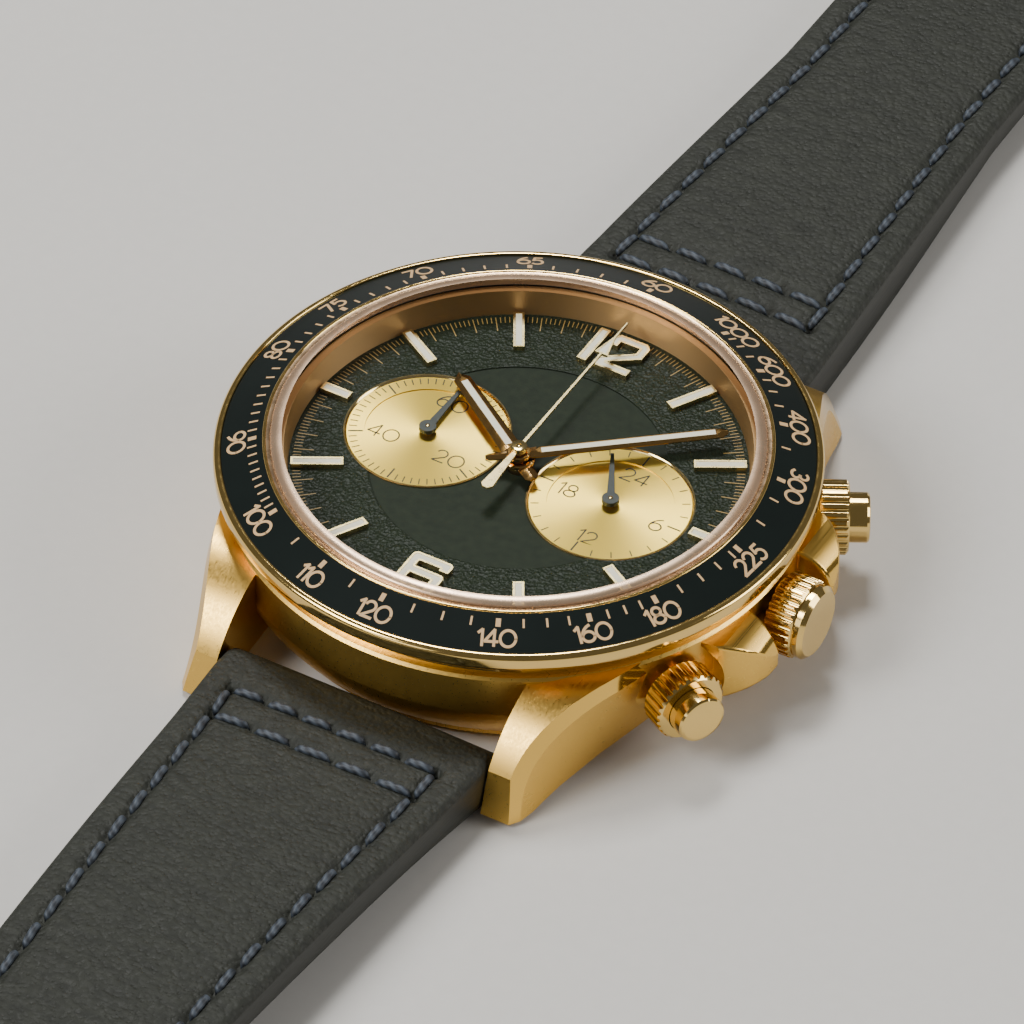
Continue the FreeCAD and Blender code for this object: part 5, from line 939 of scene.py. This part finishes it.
def keeper(name, node, body, y):
    """Leather loop: a rounded-rectangle path round the strap, carrying a band with creased margins."""
    wall, bend, band = 0.95, 0.75, 3.0  # the loop's wall, its corners, and half its width
    half, low, high = 9.3 + 0.5 * wall, 0.15 + 0.5 * wall, 7.55 - 0.5 * wall
    quarter = np.linspace(0, 0.5 * np.pi, 9)
    path, normal = [], []
    for i, (cx, cz) in enumerate(((half - bend, high - bend), (-half + bend, high - bend),
                                  (-half + bend, low + bend), (half - bend, low + bend))):
        a = quarter + 0.5 * np.pi * i
        n = np.column_stack([np.cos(a), np.sin(a)])
        path.append(np.array([cx, cz]) + bend * n)
        normal.append(n)
    path, normal = np.concatenate(path), np.concatenate(normal)
    s = np.linspace(-1, 1, 41)  # across the band, creased near its margins, rounded at its edges
    crease = 0.1 * np.exp(-((np.abs(s) - 0.78) / 0.05) ** 2)
    outer = 0.45 - crease - 0.42 * np.clip((np.abs(s) - 0.9) / 0.1, 0, 1) ** 3
    inner = -0.45 + 0.3 * np.clip((np.abs(s) - 0.95) / 0.05, 0, 1) ** 2
    across = np.concatenate([s, s[::-1]]) * band
    lift = np.concatenate([outer, inner])
    x = path[:, :1] + normal[:, :1] * lift
    z = path[:, 1:] + normal[:, 1:] * lift
    points = np.stack([x, y + across + 0 * x, z], axis=-1)
    points = np.concatenate([points, points[:1]])
    piece(name, grid(points), body, [LEATHER], sharp=50.0, instead_of=(node,))


# ---- studio ----
def camera():
    """Camera where the photograph was taken from: a long lens, high on the right of 6 o'clock."""
    distance, look_z, aside, below = 602.3, 9.4, 0.476, 3.547
    azimuth, elevation, roll = (float(a) for a in np.radians([29.5876, 42.4196, 0.7538]))
    back = Vector((float(np.sin(azimuth) * np.cos(elevation)), float(-np.cos(azimuth) * np.cos(elevation)),
                   float(np.sin(elevation))))
    level = (-back).cross(Vector((0, 0, 1))).normalized()
    rise = level.cross(-back)
    right = level * float(np.cos(roll)) + rise * float(np.sin(roll))
    up = rise * float(np.cos(roll)) - level * float(np.sin(roll))
    data = bpy.data.cameras.new("camera")
    data.lens = 298.35
    data.sensor_width = 36.0
    data.clip_start, data.clip_end = 0.05, 10.0
    eye = bpy.data.objects.new("camera", data)
    place = Vector((0, 0, look_z * MM)) + back * distance * MM - right * aside * MM - up * below * MM
    eye.matrix_world = Matrix.Translation(place) @ Matrix((right, up, back)).transposed().to_4x4()
    bpy.context.scene.collection.objects.link(eye)
    bpy.context.scene.camera = eye


def table_top():
    """Plain pale paper, 6 m square."""
    s = 3.0
    floor = bpy.data.meshes.new("floor")
    floor.from_pydata([(-s, -s, 0), (s, -s, 0), (s, s, 0), (-s, s, 0)], [], [(0, 1, 2, 3)])
    m, t, at = begin("pale_paper")
    fibre = add(t, "ShaderNodeTexNoise", {"Vector": at, "Scale": 900.0, "Detail": 3.0})
    tone = add(t, "ShaderNodeMix", {0: fibre, 6: linear("#d3d0ca"), 7: linear("#d9d6d0")}, data_type="RGBA")
    matt = add(t, "ShaderNodeBsdfPrincipled", {"Base Color": tone.outputs[2], "Roughness": 0.85})
    floor.materials.append(done(m, t, matt))
    ground = bpy.data.objects.new("floor", floor)
    bpy.context.scene.collection.objects.link(ground)


def soft_light():
    """A dim warm room, and four square soft boxes that face the middle of the table."""
    world = bpy.data.worlds.new("world")
    bpy.context.scene.world = world
    world.use_nodes = True
    world.node_tree.nodes["Background"].inputs[0].default_value = (1.0, 0.98, 0.95, 1)
    world.node_tree.nodes["Background"].inputs[1].default_value = 0.13
    boxes = (("key", (-0.5, -0.56, 0.72), 0.45, 8.5),  # name, place and size in metres, watts
             ("top", (-0.33, 0.46, 0.93), 0.26, 7.0),
             ("side", (0.85, 0.45, 0.45), 0.5, 5.0),
             ("front", (-0.2, -1.0, 0.5), 0.4, 1.0))
    for name, where, size, power in boxes:
        light = bpy.data.lights.new(name, "AREA")
        light.size = size
        light.energy = power
        lamp = bpy.data.objects.new(name, light)
        lamp.location = where
        lamp.rotation_mode = "QUATERNION"
        lamp.rotation_quaternion = Vector(where).to_track_quat("Z", "Y")
        bpy.context.scene.collection.objects.link(lamp)


dress_nodes()
tachymeter_print()
minute_track()
register_print()
register_rims()
bezel()
crystal()
main_hand("hour_hand_blade", "hour_hand_body", "hour_hand", 10.0, 0.82, 0.62, 9.6, 0.78, HOUR_ANGLE)
main_hand("minute_hand_blade", "minute_hand_body", "minute_hand", 15.1, 0.54, 0.48, 10.1, 0.45, MINUTE_ANGLE)
hub_caps()
strap("strap_leather_buckle", "strap_buckle_half", "buckle_strap", True)
strap("strap_leather_tail", "strap_tail_half", "tail_strap", False)
stitches("stitches_buckle", "buckle_strap", True)
stitches("stitches_tail", "tail_strap", False)
keeper("keeper_fixed", "fixed_keeper", "buckle_strap", 88.0)
keeper("keeper_free", "free_keeper", "free_keeper", 77.0)
camera()
table_top()
soft_light()
